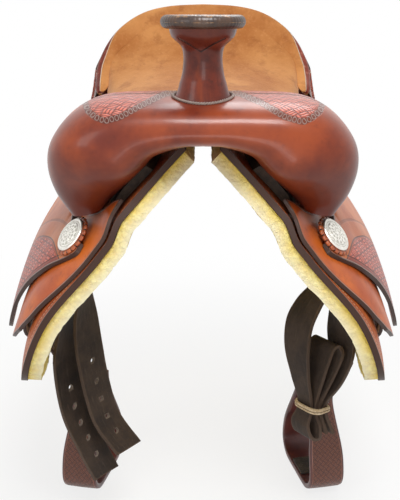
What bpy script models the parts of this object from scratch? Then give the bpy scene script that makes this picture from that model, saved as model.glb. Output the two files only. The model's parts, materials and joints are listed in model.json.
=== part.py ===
# Western trail saddle: wooden tree, leather covers and skirts, fleece, rigging, fenders and stirrups.
# Metres, +Z up. The front faces -Y, the horse's near (left) side is +X, the origin is under the gullet.

import math

import bmesh
import bpy
from mathutils import Matrix, Vector

for leftover in list(bpy.data.objects):
    bpy.data.objects.remove(leftover)

# General clearances and leather gauges
GAP = 0.0003
LAY_GAP = 0.0009
RUNNING_GAP = 0.00009
SKIRT_THICK = 0.007
FLEECE_THICK = 0.017
JOCKEY_THICK = 0.0045
FENDER_THICK = 0.0045
STRAP_THICK = 0.004
COVER_THICK = 0.004

# The side of the horse that the skirts lie on: an arc, flatter towards the rear
SIDE_RADIUS = 0.868
SIDE_START_X = 0.018
SIDE_START_Z = -0.006
SLOPE_FRONT = 43.0
SLOPE_REAR = 38.0
SLOPE_REAR_AT = 0.40
# Low down the sides curl under more tightly
CURL_DROP = 0.235
CURL_RADIUS = 0.200
# Under the front jockey the front edge dips towards the horse
DIP = 0.0085
DIP_LENGTH = 0.085
# Below the bars the sides widen quickly behind the front edge, over the horse's shoulder
FLARE = 0.010
FLARE_LENGTH = 0.060
FLARE_DROP = 0.100
FLARE_BLEND = 0.130

# Skirts
SKIRT_FRONT_Y = -0.035
SKIRT_LENGTH = 0.686
SKIRT_DROP = 0.344
FLEECE_INSET = 0.003

# Tree
BAR_TOP_EDGE = 0.024
BAR_LOW_EDGE = 0.122
BAR_FRONT_Y = 0.006
BAR_REAR_Y = 0.530
BAR_TIP_THICK = 0.011
BAR_THICK = 0.016
LEATHER_SLOT_Y = 0.210

# Swell and fork
SWELL_HEIGHT = 0.050
SWELL_HALF_WIDTH = 0.1685
SWELL_FRONT_Y = -0.055
SWELL_REAR_Y = 0.080
SWELL_LEAN = 0.016
SWELL_END_FRONT_Y = -0.006
SWELL_END_DROP = 0.110

# Horn
HORN_Y = 0.002
HORN_TILT = -3.0
HORN_CAP_HEIGHT = 0.1215
HORN_CAP_RADIUS = 0.0297
HORN_CAP_THICK = 0.011
HORN_NECK_RADIUS = 0.0205
HORN_FOOT_RADIUS = 0.0305
HORN_CORE_RADIUS = 0.0125
HORN_SOCKET = 0.020
HORN_STRAIGHT = 0.006
HORN_BINDING_RADIUS = 0.0066

# Seat and cantle
SEAT_PAD_THICK = 0.010
GROUND_SEAT_THICK = 0.003
CANTLE_BOARD_THICK = 0.014
CANTLE_ROLL_RADIUS = 0.0065

# Conchos and rosettes
CONCHO_RADIUS = 0.0205
CONCHO_THICK = 0.003
ROSETTE_RADIUS = 0.0245
ROSETTE_THICK = 0.003
ROSETTE_SCALLOPS = 20
CONCHO_Y = 0.012
CONCHO_DROP = 0.157
REAR_CONCHO_Y = 0.545
REAR_CONCHO_DROP = 0.075

# Rigging and straps
RIGGING_Y = 0.080
RIGGING_DROP = 0.222
STRAP_WIDTH = 0.044
SLOT_LENGTH = 0.052
SLOT_HEIGHT = 0.016
SLOT_PITCH = 0.032
STRAP_TWIST = 37.0
GATHER_Z = -0.351
PLATE_THICK = 0.003
PLATE_MARGIN = 0.012
HOLE_RADIUS = 0.0032
HOLE_PITCH = 0.0254

# Fenders, stirrup leathers and stirrups
FENDER_WIDTH = 0.152
LEATHER_DEPTH = 0.0105
FENDER_DEPTH = LEATHER_DEPTH + STRAP_THICK + GAP
HANG_X = 0.158
BOLT_Z = -0.392
STIRRUP_YAW = 12.0
STIRRUP_HEIGHT = 0.138
STIRRUP_INSIDE_WIDTH = 0.120
STIRRUP_TOP_WIDTH = 0.056
STIRRUP_BAND = 0.008
STIRRUP_DEPTH_LOW = 0.048
STIRRUP_DEPTH_TOP = 0.030
BOLT_RADIUS = 0.004
ROLLER_RADIUS = 0.009
TREAD_THICK = 0.004

JOCKEY_DEPTH = FENDER_DEPTH + FENDER_THICK + 0.0012

parts = bpy.data.collections.new("trail_saddle")
cutters = bpy.data.collections.new("cutters")
bpy.context.scene.collection.children.link(parts)
bpy.context.scene.collection.children.link(cutters)


def finish(name, colour, roughness, metallic=0.0):
    material = bpy.data.materials.new(name)
    material.use_nodes = True
    shader = material.node_tree.nodes["Principled BSDF"]
    shader.inputs["Base Color"].default_value = (*colour, 1.0)
    shader.inputs["Roughness"].default_value = roughness
    shader.inputs["Metallic"].default_value = metallic
    material.diffuse_color = (*colour, 1.0)
    return material


CHESTNUT = finish("chestnut_leather", (0.20, 0.035, 0.012), 0.30)
TOOLED = finish("tooled_leather", (0.24, 0.045, 0.025), 0.45)
RUSSET = finish("russet_leather", (0.50, 0.13, 0.03), 0.45)
SUEDE = finish("tan_suede", (0.45, 0.17, 0.05), 0.95)
DARK = finish("dark_burnished_leather", (0.05, 0.025, 0.022), 0.50)
LATIGO = finish("latigo_leather", (0.055, 0.032, 0.020), 0.75)
TAN = finish("tan_thong", (0.55, 0.38, 0.22), 0.80)
FLEECE = finish("sheepskin", (0.75, 0.58, 0.22), 1.0)
WOOD = finish("tree_wood", (0.45, 0.30, 0.16), 0.70)
SILVER = finish("engraved_silver", (0.62, 0.60, 0.54), 0.35, 1.0)
STEEL = finish("bright_steel", (0.55, 0.55, 0.55), 0.30, 1.0)
RUBBER = finish("tread_leather", (0.06, 0.03, 0.02), 0.80)


def ease(value):
    value = min(max(value, 0.0), 1.0)
    return value * value * (3.0 - 2.0 * value)


def mix(a, b, t):
    return a + (b - a) * t


def through(points, t):
    """Point at t, from 0 to 1, on one smooth curve through the points."""
    points = [Vector(p) for p in points]
    spans = len(points) - 1
    place = min(max(t, 0.0), 1.0) * spans
    i = min(int(place), spans - 1)
    p1, p2 = points[i], points[i + 1]
    p0 = points[i - 1] if i > 0 else p1 * 2.0 - p2
    p3 = points[i + 2] if i + 2 <= spans else p2 * 2.0 - p1
    f = place - i
    return 0.5 * (
        p1 * 2.0
        + (p2 - p0) * f
        + (p0 * 2.0 - p1 * 5.0 + p2 * 4.0 - p3) * f * f
        + (p1 * 3.0 - p0 - p2 * 3.0 + p3) * f * f * f
    )


def steps(count):
    return [i / (count - 1) for i in range(count)]


def side(drop, y, depth, sign=1):
    """Point on the horse's side: drop down the slope, y along it, depth out from the skirt's inner face."""
    start = math.radians(mix(SLOPE_FRONT, SLOPE_REAR, ease(y / SLOPE_REAR_AT)))
    turn = start + min(drop, CURL_DROP) / SIDE_RADIUS
    x = SIDE_START_X + SIDE_RADIUS * (math.sin(turn) - math.sin(start))
    z = SIDE_START_Z + SIDE_RADIUS * (math.cos(turn) - math.cos(start))
    if drop > CURL_DROP:
        bend, turn = turn, turn + (drop - CURL_DROP) / CURL_RADIUS
        x += CURL_RADIUS * (math.sin(turn) - math.sin(bend))
        z += CURL_RADIUS * (math.cos(turn) - math.cos(bend))
    short = min(max((SKIRT_FRONT_Y + FLARE_LENGTH - y) / FLARE_LENGTH, 0.0), 1.0)
    depth += FLARE * (1.0 - short * short) * ease((drop - FLARE_DROP) / FLARE_BLEND)
    dip = ease((drop - 0.095) / 0.035) * (1.0 - ease((drop - 0.150) / 0.095))
    depth -= DIP * dip * (1.0 - ease((y - SKIRT_FRONT_Y) / DIP_LENGTH))
    return Vector((sign * (x + depth * math.sin(turn)), y, z + depth * math.cos(turn)))


def side_normal(drop, y, sign=1):
    return (side(drop, y, 1.0, sign) - side(drop, y, 0.0, sign)).normalized()


def side_across(drop, y, half, sign=1):
    """Half the width of a strap that lies across the side at this drop."""
    return (side(drop, y + half, 0.0, sign) - side(drop, y - half, 0.0, sign)) / 2


def side_coords(place):
    """The (y, drop, depth) of a point on the left side."""
    low, high = -0.10, 0.60
    for _ in range(40):
        drop = (low + high) / 2
        here = side(drop, place.y, 0.0)
        ahead = side(drop + 0.001, place.y, 0.0) - here
        if (place - here).dot(ahead) > 0:
            low = drop
        else:
            high = drop
    depth = (place - side(low, place.y, 0.0)).dot(side_normal(low, place.y))
    return place.y, low, depth


def mesh_object(name, points, faces, material, collection=parts, closed=False):
    mesh = bpy.data.meshes.new(name)
    mesh.from_pydata([tuple(p) for p in points], [], faces)
    mesh.validate()
    if closed:
        work = bmesh.new()
        work.from_mesh(mesh)
        bmesh.ops.recalc_face_normals(work, faces=work.faces)
        work.to_mesh(mesh)
        work.free()
    thing = bpy.data.objects.new(name, mesh)
    collection.objects.link(thing)
    if material:
        mesh.materials.append(material)
    mesh.shade_smooth()
    mesh.set_sharp_from_angle(angle=math.radians(40))
    return thing


def grid(name, rows, material, flip=False, collection=parts):
    """An open sheet through rows of points; its normal is row direction across column direction."""
    width = len(rows[0])
    points = [p for row in rows for p in row]
    faces = []
    for r in range(len(rows) - 1):
        for c in range(width - 1):
            quad = [r * width + c, (r + 1) * width + c, (r + 1) * width + c + 1, r * width + c + 1]
            faces.append(quad[::-1] if flip else quad)
    return mesh_object(name, points, faces, material, collection)


def thicken(thing, thickness, outward=True):
    shell = thing.modifiers.new("thickness", "SOLIDIFY")
    shell.thickness = thickness
    shell.offset = 1.0 if outward else -1.0
    shell.use_even_offset = True
    return thing


def loft(name, rings, material, collection=parts):
    """A closed solid through rings of equal length, with flat end caps."""
    count = len(rings[0])
    points = [p for ring in rings for p in ring]
    faces = []
    for r in range(len(rings) - 1):
        for c in range(count):
            d = (c + 1) % count
            faces.append([r * count + c, r * count + d, (r + 1) * count + d, (r + 1) * count + c])
    faces.append(list(range(count))[::-1])
    faces.append([(len(rings) - 1) * count + c for c in range(count)])
    return mesh_object(name, points, faces, material, collection, closed=True)


def sleeve(name, outer, inner, material):
    """A tube through matching outer and inner rings, open at both ends."""
    count = len(outer[0])
    last = len(outer) - 1
    base = len(outer) * count
    points = [p for ring in outer + inner for p in ring]
    faces = []
    for c in range(count):
        d = (c + 1) % count
        for r in range(last):
            faces.append([r * count + c, r * count + d, (r + 1) * count + d, (r + 1) * count + c])
            faces.append([base + r * count + d, base + r * count + c,
                          base + (r + 1) * count + c, base + (r + 1) * count + d])
        faces.append([d, c, base + c, base + d])
        faces.append([last * count + c, last * count + d, base + last * count + d, base + last * count + c])
    return mesh_object(name, points, faces, material, closed=True)


def slab(name, over, under, material):
    """A closed sheet between two matching grids of points."""
    height, width = len(over), len(over[0])
    base = height * width
    points = [p for row in over for p in row] + [p for row in under for p in row]
    faces = []
    for r in range(height - 1):
        for c in range(width - 1):
            a = r * width + c
            quad = [a, a + width, a + width + 1, a + 1]
            faces.append(quad)
            faces.append([base + k for k in reversed(quad)])
    rim = [c for c in range(width)]
    rim += [r * width + width - 1 for r in range(1, height)]
    rim += [(height - 1) * width + c for c in reversed(range(width - 1))]
    rim += [r * width for r in reversed(range(1, height - 1))]
    for i, here in enumerate(rim):
        ahead = rim[(i + 1) % len(rim)]
        faces.append([here, ahead, base + ahead, base + here])
    return mesh_object(name, points, faces, material, closed=True)


def guide(thing):
    thing.hide_render = True
    thing.display_type = "WIRE"
    return thing


def cut(thing, cutter):
    """Cuts with flat facets on both, because a twisted quad would be read in two ways."""
    for piece in (thing, cutter):
        facets = piece.modifiers.new("facets", "TRIANGULATE")
        facets.keep_custom_normals = False
    cutting = thing.modifiers.new("cut", "BOOLEAN")
    cutting.operation = "DIFFERENCE"
    cutting.solver = "EXACT"
    cutting.object = guide(cutter)
    return thing


def side_block(name, drops, ys, depths, sign, splits=2):
    """A cutter in the side's own directions, which can be split to follow the arc."""
    rings = []
    for t in steps(splits):
        drop = mix(drops[0], drops[1], t)
        corners = [(ys[0], depths[0]), (ys[1], depths[0]), (ys[1], depths[1]), (ys[0], depths[1])]
        rings.append([side(drop, y, d, sign) for y, d in corners])
    return loft(name, rings, None, collection=cutters)


def panel(name, sign, rails, thickness, material, columns, rows):
    """A leather panel over rails, each a list of (y, drop, depth) from front to rear, top rail first."""
    under, over = [], []
    for b in steps(rows):
        low, top = [], []
        for a in steps(columns):
            y, drop, depth = through([through(rail, a) for rail in rails], b)
            low.append(side(drop, y, depth, sign))
            top.append(side(drop, y, depth + thickness, sign))
        under.append(low)
        over.append(top)
    return slab(name, over, under, material)


def turned(name, profile, material, matrix, segments=32):
    """A turned piece: the profile of (radius, height) runs from the top down the outer side."""
    mesh = bpy.data.meshes.new(name)
    points = [(r, 0.0, z) for r, z in profile]
    mesh.from_pydata(points, [(i, i + 1) for i in range(len(points) - 1)], [])
    thing = bpy.data.objects.new(name, mesh)
    parts.objects.link(thing)
    mesh.materials.append(material)
    thing.matrix_world = matrix
    spin = thing.modifiers.new("turn", "SCREW")
    spin.steps = segments
    spin.render_steps = segments
    spin.use_merge_vertices = True
    spin.merge_threshold = 0.0001
    return thing


def standing(place, normal):
    """Frame whose Z runs along the normal at the place."""
    turn = Vector(normal).to_track_quat("Z", "Y").to_matrix().to_4x4()
    return Matrix.Translation(place) @ turn


# Skirts and fleece share one outline: front and rear edges at stations down the side
def skirt_rails(depth, inset):
    front = [0.030, 0.002, -0.002, 0.0, 0.010, 0.034, 0.078]
    rear = [0.035, 0.010, 0.0, 0.002, 0.014, 0.040, 0.086]
    share = [0.0, 0.22, 0.45, 0.68, 0.86, 0.96, 1.0]
    rear_y = SKIRT_FRONT_Y + SKIRT_LENGTH
    rails = []
    for f, r, s in zip(front, rear, share):
        drop = min(max(s * SKIRT_DROP, inset), SKIRT_DROP - inset)
        ends = (SKIRT_FRONT_Y + f + inset, rear_y - r - inset)
        rails.append([(mix(ends[0], ends[1], t), drop, depth) for t in (0.0, 0.33, 0.67, 1.0)])
    return rails


def cut_slots(thing, sign, extra):
    """The two slots that the strap is laced through, either side of the rigging's bar."""
    half = SLOT_LENGTH / 2 + extra
    tall = SLOT_HEIGHT / 2 + extra
    high, low = RIGGING_DROP - SLOT_PITCH / 2, RIGGING_DROP + SLOT_PITCH / 2
    for word, middle in (("upper", high), ("lower", low)):
        slot = side_block(
            f"{word}_slot_{thing.name}",
            (middle - tall, middle + tall),
            (RIGGING_Y - half, RIGGING_Y + half),
            (-0.040, 0.040),
            sign,
        )
        cut(thing, slot)


def make_skirts(word, sign):
    skirt = panel(f"skirt_{word}", sign, skirt_rails(0.0, 0.0), SKIRT_THICK, RUSSET, 10, 13)
    cut_slots(skirt, sign, 0.0)
    depth = -FLEECE_THICK - LAY_GAP
    fleece = panel(
        f"fleece_{word}", sign, skirt_rails(depth, FLEECE_INSET), FLEECE_THICK, FLEECE, 10, 13
    )
    cut_slots(fleece, sign, 0.004)


# The bars of the tree lie on the skirts; a groove under each lets the stirrup leather swing
def bar_thickness(y):
    rise = ease((y - 0.085) / 0.05)
    fall = ease((y - 0.42) / 0.10)
    return mix(mix(BAR_TIP_THICK, BAR_THICK, rise), BAR_TIP_THICK, fall)


def make_bar(word, sign):
    base = SKIRT_THICK + LAY_GAP
    rings = []
    for t in steps(13):
        y = mix(BAR_FRONT_Y, BAR_REAR_Y, t)
        narrow = 0.018 * (abs(t - 0.5) * 2) ** 4
        top, low = BAR_TOP_EDGE + narrow, BAR_LOW_EDGE - narrow
        thick = bar_thickness(y)
        outline = [
            (top, base), (mix(top, low, 0.25), base), (mix(top, low, 0.5), base),
            (mix(top, low, 0.75), base), (low, base),
            (low - 0.002, base + thick * 0.55), (mix(top, low, 0.72), base + thick * 0.9),
            (mix(top, low, 0.3), base + thick), (top + 0.002, base + thick * 0.8),
        ]
        rings.append([side(drop, y, depth, sign) for drop, depth in outline])
    bar = loft(f"tree_bar_{word}", rings, WOOD)
    half = STRAP_WIDTH / 2 + 0.011
    groove = side_block(
        f"groove_{word}",
        (BAR_LOW_EDGE - 0.052, BAR_LOW_EDGE + 0.020),
        (LEATHER_SLOT_Y - half, LEATHER_SLOT_Y + half),
        (0.0, LEATHER_DEPTH + STRAP_THICK + 0.0008),
        sign,
        splits=4,
    )
    cut(bar, groove)


# Swell: an arch between the gullet line and the outer line, with a rounded section
def gullet_line():
    rest = BAR_TIP_THICK + SKIRT_THICK + LAY_GAP + GAP
    line = [(0.0, 0.002), (0.021, 0.0005)]
    for drop in (0.024, 0.042, 0.060, 0.078, 0.095, SWELL_END_DROP):
        place = side(drop, 0.03, rest)
        line.append((place.x, place.z))
    return line


def outer_line():
    w, h = SWELL_HALF_WIDTH, SWELL_HEIGHT
    return [
        (0.0, h), (0.055, h), (0.63 * w, h - 0.003), (0.83 * w, h - 0.019),
        (0.965 * w, h - 0.047), (w, h - 0.076), (0.960 * w, h - 0.106), (0.870 * w, h - 0.131),
    ]


def swell_ring(t, inset, points=14):
    """Section of the swell at t, from -1 at the right end to 1 at the left end."""
    away, sign = abs(t), (1 if t >= 0 else -1)
    inner = through([(x, 0.0, z) for x, z in gullet_line()], away)
    outer = through([(x, 0.0, z) for x, z in outer_line()], away)
    span = (outer - inner).length
    end = ease((away - 0.45) / 0.55)
    front = mix(SWELL_FRONT_Y, SWELL_END_FRONT_Y, end)
    rear = SWELL_REAR_Y
    half = (rear - front) / 2 - inset
    ring = []
    for i in range(points):
        turn = 2 * math.pi * i / points
        c, s = math.cos(turn), math.sin(turn)
        across = math.copysign(abs(s) ** 0.72, s)
        along = math.copysign(abs(c) ** 0.72, c)
        rise = 0.5 + across * (0.5 - inset / span)
        lean = SWELL_LEAN * (rise - 0.5) * (1.0 - end)
        y = (front + rear) / 2 - along * half + lean
        place = inner.lerp(outer, rise)
        ring.append(Vector((sign * place.x, y, place.z)))
    return ring


def swell_rings(inset, reach=1.0, count=19):
    rings = []
    for t in steps(count):
        rings.append(swell_ring(reach * (2 * t - 1), inset))
    return rings


def make_swell():
    cover = sleeve("swell_cover", swell_rings(0.0), swell_rings(COVER_THICK), CHESTNUT)
    fork = loft("tree_fork", swell_rings(COVER_THICK + 3 * GAP, 0.980), WOOD)
    horn = standing(Vector((0.0, HORN_Y, SWELL_HEIGHT)), (0.0, 0.0, 1.0))
    for thing, name in ((cover, "horn_hole"), (fork, "horn_socket")):
        mesh = bpy.data.meshes.new(name)
        work = bmesh.new()
        bmesh.ops.create_cone(
            work, cap_ends=True, segments=24, depth=0.06,
            radius1=HORN_CORE_RADIUS + GAP, radius2=HORN_CORE_RADIUS + GAP,
        )
        work.to_mesh(mesh)
        work.free()
        cutter = bpy.data.objects.new(name, mesh)
        cutters.objects.link(cutter)
        cutter.matrix_world = horn @ Matrix.Translation((0.0, 0.0, 0.03 - HORN_SOCKET))
        cut(thing, cutter)


# Horn: steel core, leather-wrapped neck, tilted cap with a bound rim
def horn_frame():
    cap = Vector((0.0, HORN_Y - 0.012, HORN_CAP_HEIGHT))
    return Matrix.Translation(cap) @ Matrix.Rotation(math.radians(HORN_TILT), 4, "X")


def make_horn():
    cap = horn_frame()
    r, h = HORN_CAP_RADIUS, HORN_CAP_THICK
    top = [(0.0, h), (r * 0.6, h - 0.0004), (r * 0.92, h - 0.002), (r, h - 0.004),
           (r, 0.003), (r * 0.9, 0.0), (0.0, -0.0002)]
    turned("horn_cap", top, CHESTNUT, cap, 28)
    tube = HORN_BINDING_RADIUS
    ring_r = r + tube + GAP
    bind = []
    for i in range(9):
        turn = math.pi / 2 - 2 * math.pi * i / 8
        bind.append((ring_r + tube * math.cos(turn), h * 0.5 + tube * math.sin(turn)))
    turned("horn_cap_binding", bind, DARK, cap, 28)

    # neck rings from the foot, on the swell, up to the cap's underside
    foot = Vector((0.0, HORN_Y, SWELL_HEIGHT - 0.012))
    knee = Vector((0.0, HORN_Y, SWELL_HEIGHT + HORN_STRAIGHT))
    head = cap @ Vector((0.0, 0.0, -2 * GAP))
    sizes = [HORN_FOOT_RADIUS, HORN_FOOT_RADIUS * 0.80, HORN_NECK_RADIUS * 1.03, HORN_NECK_RADIUS,
             HORN_NECK_RADIUS * 1.02, HORN_NECK_RADIUS * 1.15, HORN_NECK_RADIUS * 1.7]
    places = [-0.26, 0.0, 0.24, 0.50, 0.72, 0.88, 1.0]

    def neck(radii):
        rings = []
        for radius, place in zip(radii, places):
            centre = knee.lerp(head, place) if place > 0 else knee.lerp(foot, -place / 0.26)
            tilt = Matrix.Rotation(math.radians(HORN_TILT) * ease((place - 0.3) / 0.7), 3, "X")
            ring = []
            for i in range(24):
                turn = 2 * math.pi * i / 24
                ring.append(centre + tilt @ Vector((radius * math.cos(turn), radius * math.sin(turn), 0.0)))
            rings.append(ring)
        return rings

    hollow = [HORN_CORE_RADIUS + GAP] * len(sizes)
    wrap = sleeve("horn_wrap", neck(sizes), neck(hollow), CHESTNUT)
    cut(wrap, loft("swell_clearance", swell_rings(-GAP), None, collection=cutters))
    low = Vector((0.0, HORN_Y, SWELL_HEIGHT - HORN_SOCKET + GAP))
    core_rings = []
    for place in (low, knee, head):
        level = place == head
        tilt = Matrix.Rotation(math.radians(HORN_TILT) if level else 0.0, 3, "X")
        ring = []
        for i in range(24):
            turn = 2 * math.pi * i / 24
            radius = HORN_CORE_RADIUS - 2 * GAP
            ring.append(place + tilt @ Vector((radius * math.cos(turn), radius * math.sin(turn), 0.0)))
        core_rings.append(ring)
    loft("horn_core", core_rings, STEEL)


SEAT_STEPS_ACROSS = 14
SEAT_STEPS_ALONG = 14

# Seat: lengthwise rails of the suede surface, centre first, from the swell back to the cantle's rim
SEAT_RAILS = [
    [(0.0, 0.096, 0.047), (0.0, 0.160, 0.033), (0.0, 0.240, 0.024), (0.0, 0.320, 0.028),
     (0.0, 0.385, 0.045), (0.0, 0.425, 0.076), (0.0, 0.446, 0.108)],
    [(0.045, 0.096, 0.042), (0.055, 0.160, 0.027), (0.066, 0.240, 0.019), (0.072, 0.320, 0.025),
     (0.076, 0.382, 0.041), (0.079, 0.418, 0.068), (0.080, 0.438, 0.099)],
    [(0.080, 0.096, 0.026), (0.092, 0.160, 0.006), (0.108, 0.240, 0.003), (0.119, 0.320, 0.013),
     (0.124, 0.368, 0.028), (0.127, 0.396, 0.044), (0.125, 0.417, 0.066)],
    [(0.098, 0.096, 0.006), (0.112, 0.160, -0.020), (0.126, 0.240, -0.018), (0.134, 0.310, -0.006),
     (0.138, 0.350, 0.008), (0.140, 0.378, 0.021), (0.138, 0.399, 0.040)],
]


def seat_point(s, v):
    rail = through([through(line, v) for line in SEAT_RAILS], min(abs(s), 1.0))
    return Vector((math.copysign(rail.x, s) if s else 0.0, rail.y, rail.z))


def seat_normal(s, v):
    e = 0.01
    across = seat_point(min(s + e, 1.0), v) - seat_point(max(s - e, -1.0), v)
    along = seat_point(s, min(v + e, 1.0)) - seat_point(s, max(v - e, 0.0))
    return across.cross(along).normalized()


def seat_sheet(name, depth, thickness, material, trim, first, last, straight=None):
    """A layer of the seat under the suede's face, on the lattice that all the seat's layers share."""
    under, over = [], []
    for j in range(first, last + 1):
        v = j / SEAT_STEPS_ALONG
        low, top = [], []
        for i in range(trim, SEAT_STEPS_ACROSS - trim + 1):
            s = 2 * i / SEAT_STEPS_ACROSS - 1
            place, normal = seat_point(s, v), seat_normal(s, v)
            top.append(place - normal * depth)
            low.append(top[-1] + (straight or -normal) * thickness)
        over.append(top)
        under.append(low)
    return slab(name, over, under, material)


def make_seat():
    last = SEAT_STEPS_ALONG
    seat_sheet("padded_seat", 0.0, SEAT_PAD_THICK, SUEDE, 0, 0, last)
    under = SEAT_PAD_THICK + 4 * GAP
    seat_sheet("ground_seat", under, GROUND_SEAT_THICK, RUSSET, 1, 0, last - 1)
    board = under + GROUND_SEAT_THICK + 4 * GAP
    back = Vector((0.0, 0.85, -0.53)).normalized()
    seat_sheet("tree_cantle", board, CANTLE_BOARD_THICK, WOOD, 1, last - 4, last - 1, straight=back)


def cantle_rim(t, out=0.0):
    """The rim of the cantle from the right side round the top to the left side."""
    half = [(0.0, 0.452, 0.1135), (0.048, 0.450, 0.1110), (0.084, 0.443, 0.1030), (0.113, 0.430, 0.0865),
            (0.1325, 0.416, 0.0655), (0.1455, 0.397, 0.039), (0.1475, 0.375, 0.019), (0.1455, 0.348, 0.004)]
    place = through(half, abs(t))
    place.x = math.copysign(place.x, t) if t else 0.0
    away = Vector((place.x, 0.0, place.z + 0.01)).normalized()
    return place + away * out


def make_cantle():
    rim = bpy.data.curves.new("cantle_binding", "CURVE")
    rim.dimensions = "3D"
    rim.bevel_depth = CANTLE_ROLL_RADIUS
    rim.bevel_resolution = 2
    rim.use_fill_caps = True
    spline = rim.splines.new("POLY")
    spline.points.add(32)
    for i, t in enumerate(steps(33)):
        spline.points[i].co = (*cantle_rim(2 * t - 1, 0.0012), 1.0)
    roll = bpy.data.objects.new("cantle_binding", rim)
    parts.objects.link(roll)
    rim.materials.append(CHESTNUT)

    base = [(0.0, 0.500, 0.024), (0.048, 0.498, 0.016), (0.086, 0.487, 0.0), (0.120, 0.466, -0.016),
            (0.145, 0.438, -0.024), (0.1585, 0.410, -0.024), (0.1620, 0.385, -0.018), (0.1590, 0.356, -0.010)]
    sheet = []
    for b in steps(5):
        line = []
        for a in steps(21):
            t = 2 * a - 1
            top = cantle_rim(t)
            top += Vector((top.x * 0.050, 0.0073, -0.0016))
            low = through(base, abs(t))
            low.x = math.copysign(low.x, t) if t else 0.0
            place = top.lerp(low, b)
            bow = 4 * b * (1 - b) * 0.006
            place.y -= bow
            line.append(place)
        sheet.append(line)
    thicken(grid("cantle_back", sheet, TOOLED, flip=True), COVER_THICK, outward=True)


def layer_depth(y):
    """Inner face of the jockeys: on the skirt at the front, over the rigging and fenders further back."""
    return mix(SKIRT_THICK + GAP, JOCKEY_DEPTH, ease((y - SKIRT_FRONT_Y) / 0.080))


# Jockeys: the layers of leather over the skirts, as rails of (y, drop, extra depth)
def laid(rails, extra):
    return [[(y, drop, layer_depth(y) + extra + lift) for y, drop, lift in rail] for rail in rails]


FRONT_JOCKEY = [
    [(-0.024, 0.090, 0.003), (-0.004, 0.120, 0.0), (0.050, 0.147, 0.0), (0.106, 0.150, 0.0)],
    [(-0.034, 0.122, 0.0014), (0.002, 0.156, 0.0), (0.054, 0.180, 0.0), (0.108, 0.190, 0.0)],
    [(-0.030, 0.190, 0.0), (0.008, 0.222, 0.0), (0.058, 0.240, 0.0), (0.109, 0.240, 0.0)],
    [(-0.014, 0.246, 0.0), (0.022, 0.268, 0.0), (0.066, 0.278, 0.0), (0.109, 0.272, 0.0)],
    [(0.006, 0.278, 0.001), (0.040, 0.300, 0.001), (0.076, 0.302, 0.001), (0.108, 0.290, 0.0)],
]

SEAT_JOCKEY_TOP = [(-0.008, 0.152, 0.0014), (0.032, 0.156, 0.0), (0.068, 0.152, 0.005), (0.080, 0.140, 0.008)]
SEAT_JOCKEY = [
    [(-0.012, 0.164, 0.0011), (0.034, 0.176, 0.0), (0.078, 0.180, 0.005), (0.140, 0.176, 0.012),
     (0.240, 0.176, 0.012), (0.340, 0.172, 0.006)],
    [(0.000, 0.184, 0.0), (0.040, 0.208, 0.001), (0.084, 0.230, 0.006), (0.146, 0.240, 0.009),
     (0.244, 0.232, 0.008), (0.342, 0.215, 0.003)],
    [(0.010, 0.198, 0.0), (0.050, 0.246, 0.002), (0.092, 0.286, 0.006), (0.142, 0.294, 0.007),
     (0.240, 0.276, 0.006), (0.338, 0.250, 0.002)],
    [(0.020, 0.214, 0.0), (0.060, 0.262, 0.003), (0.102, 0.314, 0.007), (0.136, 0.312, 0.007),
     (0.230, 0.290, 0.006), (0.330, 0.264, 0.002)],
]


def seat_edge_rail():
    """Places just outside the seat pad's edge, where the seat leather runs down into the jockey."""
    rail = []
    for v in (0.03, 0.13, 0.23, 0.33, 0.43, 0.55):
        out = (seat_point(1.0, v) - seat_point(0.96, v)).normalized()
        place = seat_point(1.0, v) + out * 0.0068 - seat_normal(1.0, v) * (SEAT_PAD_THICK * 0.75)
        rail.append(side_coords(place))
    return rail


def make_jockeys(word, sign):
    panel(f"front_jockey_{word}", sign, laid(FRONT_JOCKEY, 0.0), JOCKEY_THICK, RUSSET, 9, 13)

    extra = JOCKEY_THICK + LAY_GAP
    edge = seat_edge_rail()
    top = laid([SEAT_JOCKEY_TOP], extra)[0]
    top += edge
    lower = laid(SEAT_JOCKEY, extra)
    panel(f"seat_jockey_{word}", sign, [top] + lower, JOCKEY_THICK, TOOLED, 16, 9)

    bed = SKIRT_THICK + BAR_THICK + 0.0011
    flat = SKIRT_THICK + 0.0045
    rear = [
        [(0.368, 0.016, bed), (0.440, 0.012, bed), (0.520, 0.010, bed - 0.003), (0.575, 0.016, bed - 0.004)],
        [(0.366, 0.080, bed), (0.440, 0.080, bed), (0.525, 0.070, bed - 0.002), (0.598, 0.060, bed - 0.006)],
        [(0.366, 0.140, bed - 0.003), (0.440, 0.144, bed - 0.004), (0.525, 0.128, flat + 0.006),
         (0.590, 0.100, flat + 0.004)],
        [(0.372, 0.206, flat + 0.003), (0.440, 0.208, flat + 0.002), (0.510, 0.178, flat), (0.565, 0.130, flat)],
    ]
    panel(f"rear_jockey_{word}", sign, rear, JOCKEY_THICK, TOOLED, 9, 8)


def layer_frame(y, drop, extra, sign):
    """Frame on the jockeys' outside, its Z square to their surface there."""
    def at(dy, du):
        return side(drop + du, y + dy, layer_depth(y + dy) + extra, sign)

    along, down = at(0.012, 0.0) - at(-0.012, 0.0), at(0.0, 0.012) - at(0.0, -0.012)
    return standing(at(0.0, 0.0), down.cross(along) * sign)


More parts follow.
